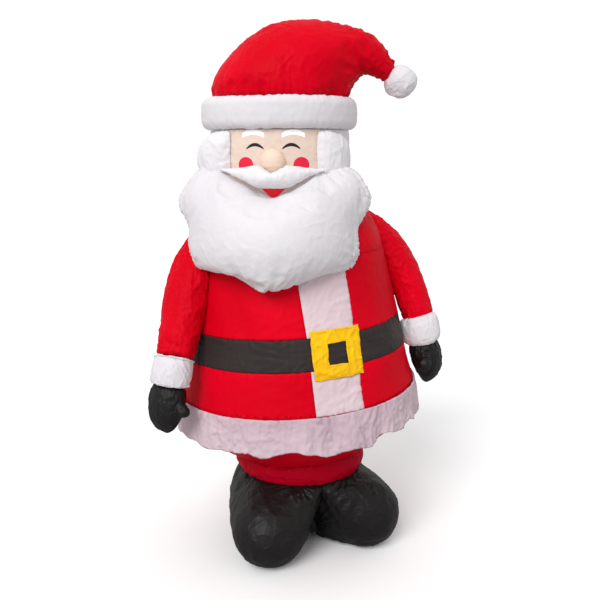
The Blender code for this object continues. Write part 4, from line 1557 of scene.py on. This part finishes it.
@dataclass
class Studio:
    """The pale floor, the soft lights and the camera.

    Attributes:
        floor_size: The floor's side.
        floor_bounce: How bright the floor is to the light that it throws back.
        floor_white: How bright it is to the camera.
        room_white: How bright the room behind is to the camera.
        ambient: The strength of the light from all round.
        key: The strength of the main light.
        key_softness: Its width, in degrees.
        key_from: The direction that it comes from.
        camera_place: Where the camera stands.
        camera_tilt: Its tilt up from straight down, in degrees.
        camera_turn: Its turn, in degrees.
        lens: Its focal length, in millimetres.
    """

    floor_size: float = 40.0
    floor_bounce: float = 0.45
    floor_white: float = 1.0
    room_white: float = 1.05
    ambient: float = 0.78
    key: float = 2.1
    key_softness: float = 32.0
    key_from: tuple[float, float, float] = (-1.75, -1.75, 1.8)
    camera_place: tuple[float, float, float] = (-0.5374, -1.5275, 0.848)
    camera_tilt: float = 80.4
    camera_turn: float = -20.0
    lens: float = 42.0

    def build(self) -> None:
        """Set up floor, lights, surroundings and camera."""
        half = self.floor_size / 2
        corners = half * np.array([(-1.0, -1.0, 0.0), (1.0, -1.0, 0.0), (1.0, 1.0, 0.0), (-1.0, 1.0, 0.0)])
        floor = shown("floor", built("floor", corners, [(0, 1, 2, 3)], closed=False))
        paper = bpy.data.materials.new("pale paper")
        paper.use_nodes = True
        surface = paper.node_tree.nodes["Principled BSDF"]
        sheet = Wiring(paper.node_tree)
        seen = sheet.add("ShaderNodeLightPath").outputs["Is Camera Ray"]
        bounce, bright = ((value, value, value, 1.0) for value in (self.floor_bounce, self.floor_white))
        paper.node_tree.links.new(sheet.mixed(seen, bounce, bright), surface.inputs["Base Color"])
        surface.inputs["Roughness"].default_value = 0.9
        surface.inputs["Specular IOR Level"].default_value = 0.0
        floor.data.materials.append(paper)
        world = bpy.data.worlds.new("white room")
        world.use_nodes = True
        wiring = Wiring(world.node_tree)
        background = world.node_tree.nodes["Background"]
        background.inputs["Color"].default_value = (1.0, 1.0, 1.0, 1.0)
        seen = wiring.add("ShaderNodeLightPath").outputs["Is Camera Ray"]
        strength = wiring.spread(seen, 0.0, 1.0, self.ambient, self.room_white)
        world.node_tree.links.new(strength, background.inputs["Strength"])
        bpy.context.scene.world = world
        bpy.context.scene.view_settings.view_transform = "Standard"
        key = bpy.data.lights.new("key", "SUN")
        key.energy = self.key
        key.angle = math.radians(self.key_softness)
        sun = bpy.data.objects.new("key", key)
        sun.rotation_euler = Vector(self.key_from).to_track_quat("Z", "Y").to_euler()
        bpy.context.scene.collection.objects.link(sun)
        lens = bpy.data.cameras.new("camera")
        lens.lens = self.lens
        lens.sensor_width = 36.0
        camera = bpy.data.objects.new("camera", lens)
        camera.location = self.camera_place
        camera.rotation_euler = (math.radians(self.camera_tilt), 0.0, math.radians(self.camera_turn))
        bpy.context.scene.collection.objects.link(camera)
        bpy.context.scene.camera = camera


def main() -> None:
    """Build the figure's looks piece by piece."""
    logging.basicConfig(level=logging.INFO)
    boots, coat, arms, head, hat = Boots(), Coat(), Arms(), Head(), Hat()
    Studio().build()
    boots.dress_tab()
    coat.build()
    head.build()
    hat.build()
    blow_up([*boots.pieces(), *arms.pieces(), *head.pieces(), *hat.pieces()])


if __name__ == "__main__":
    main()
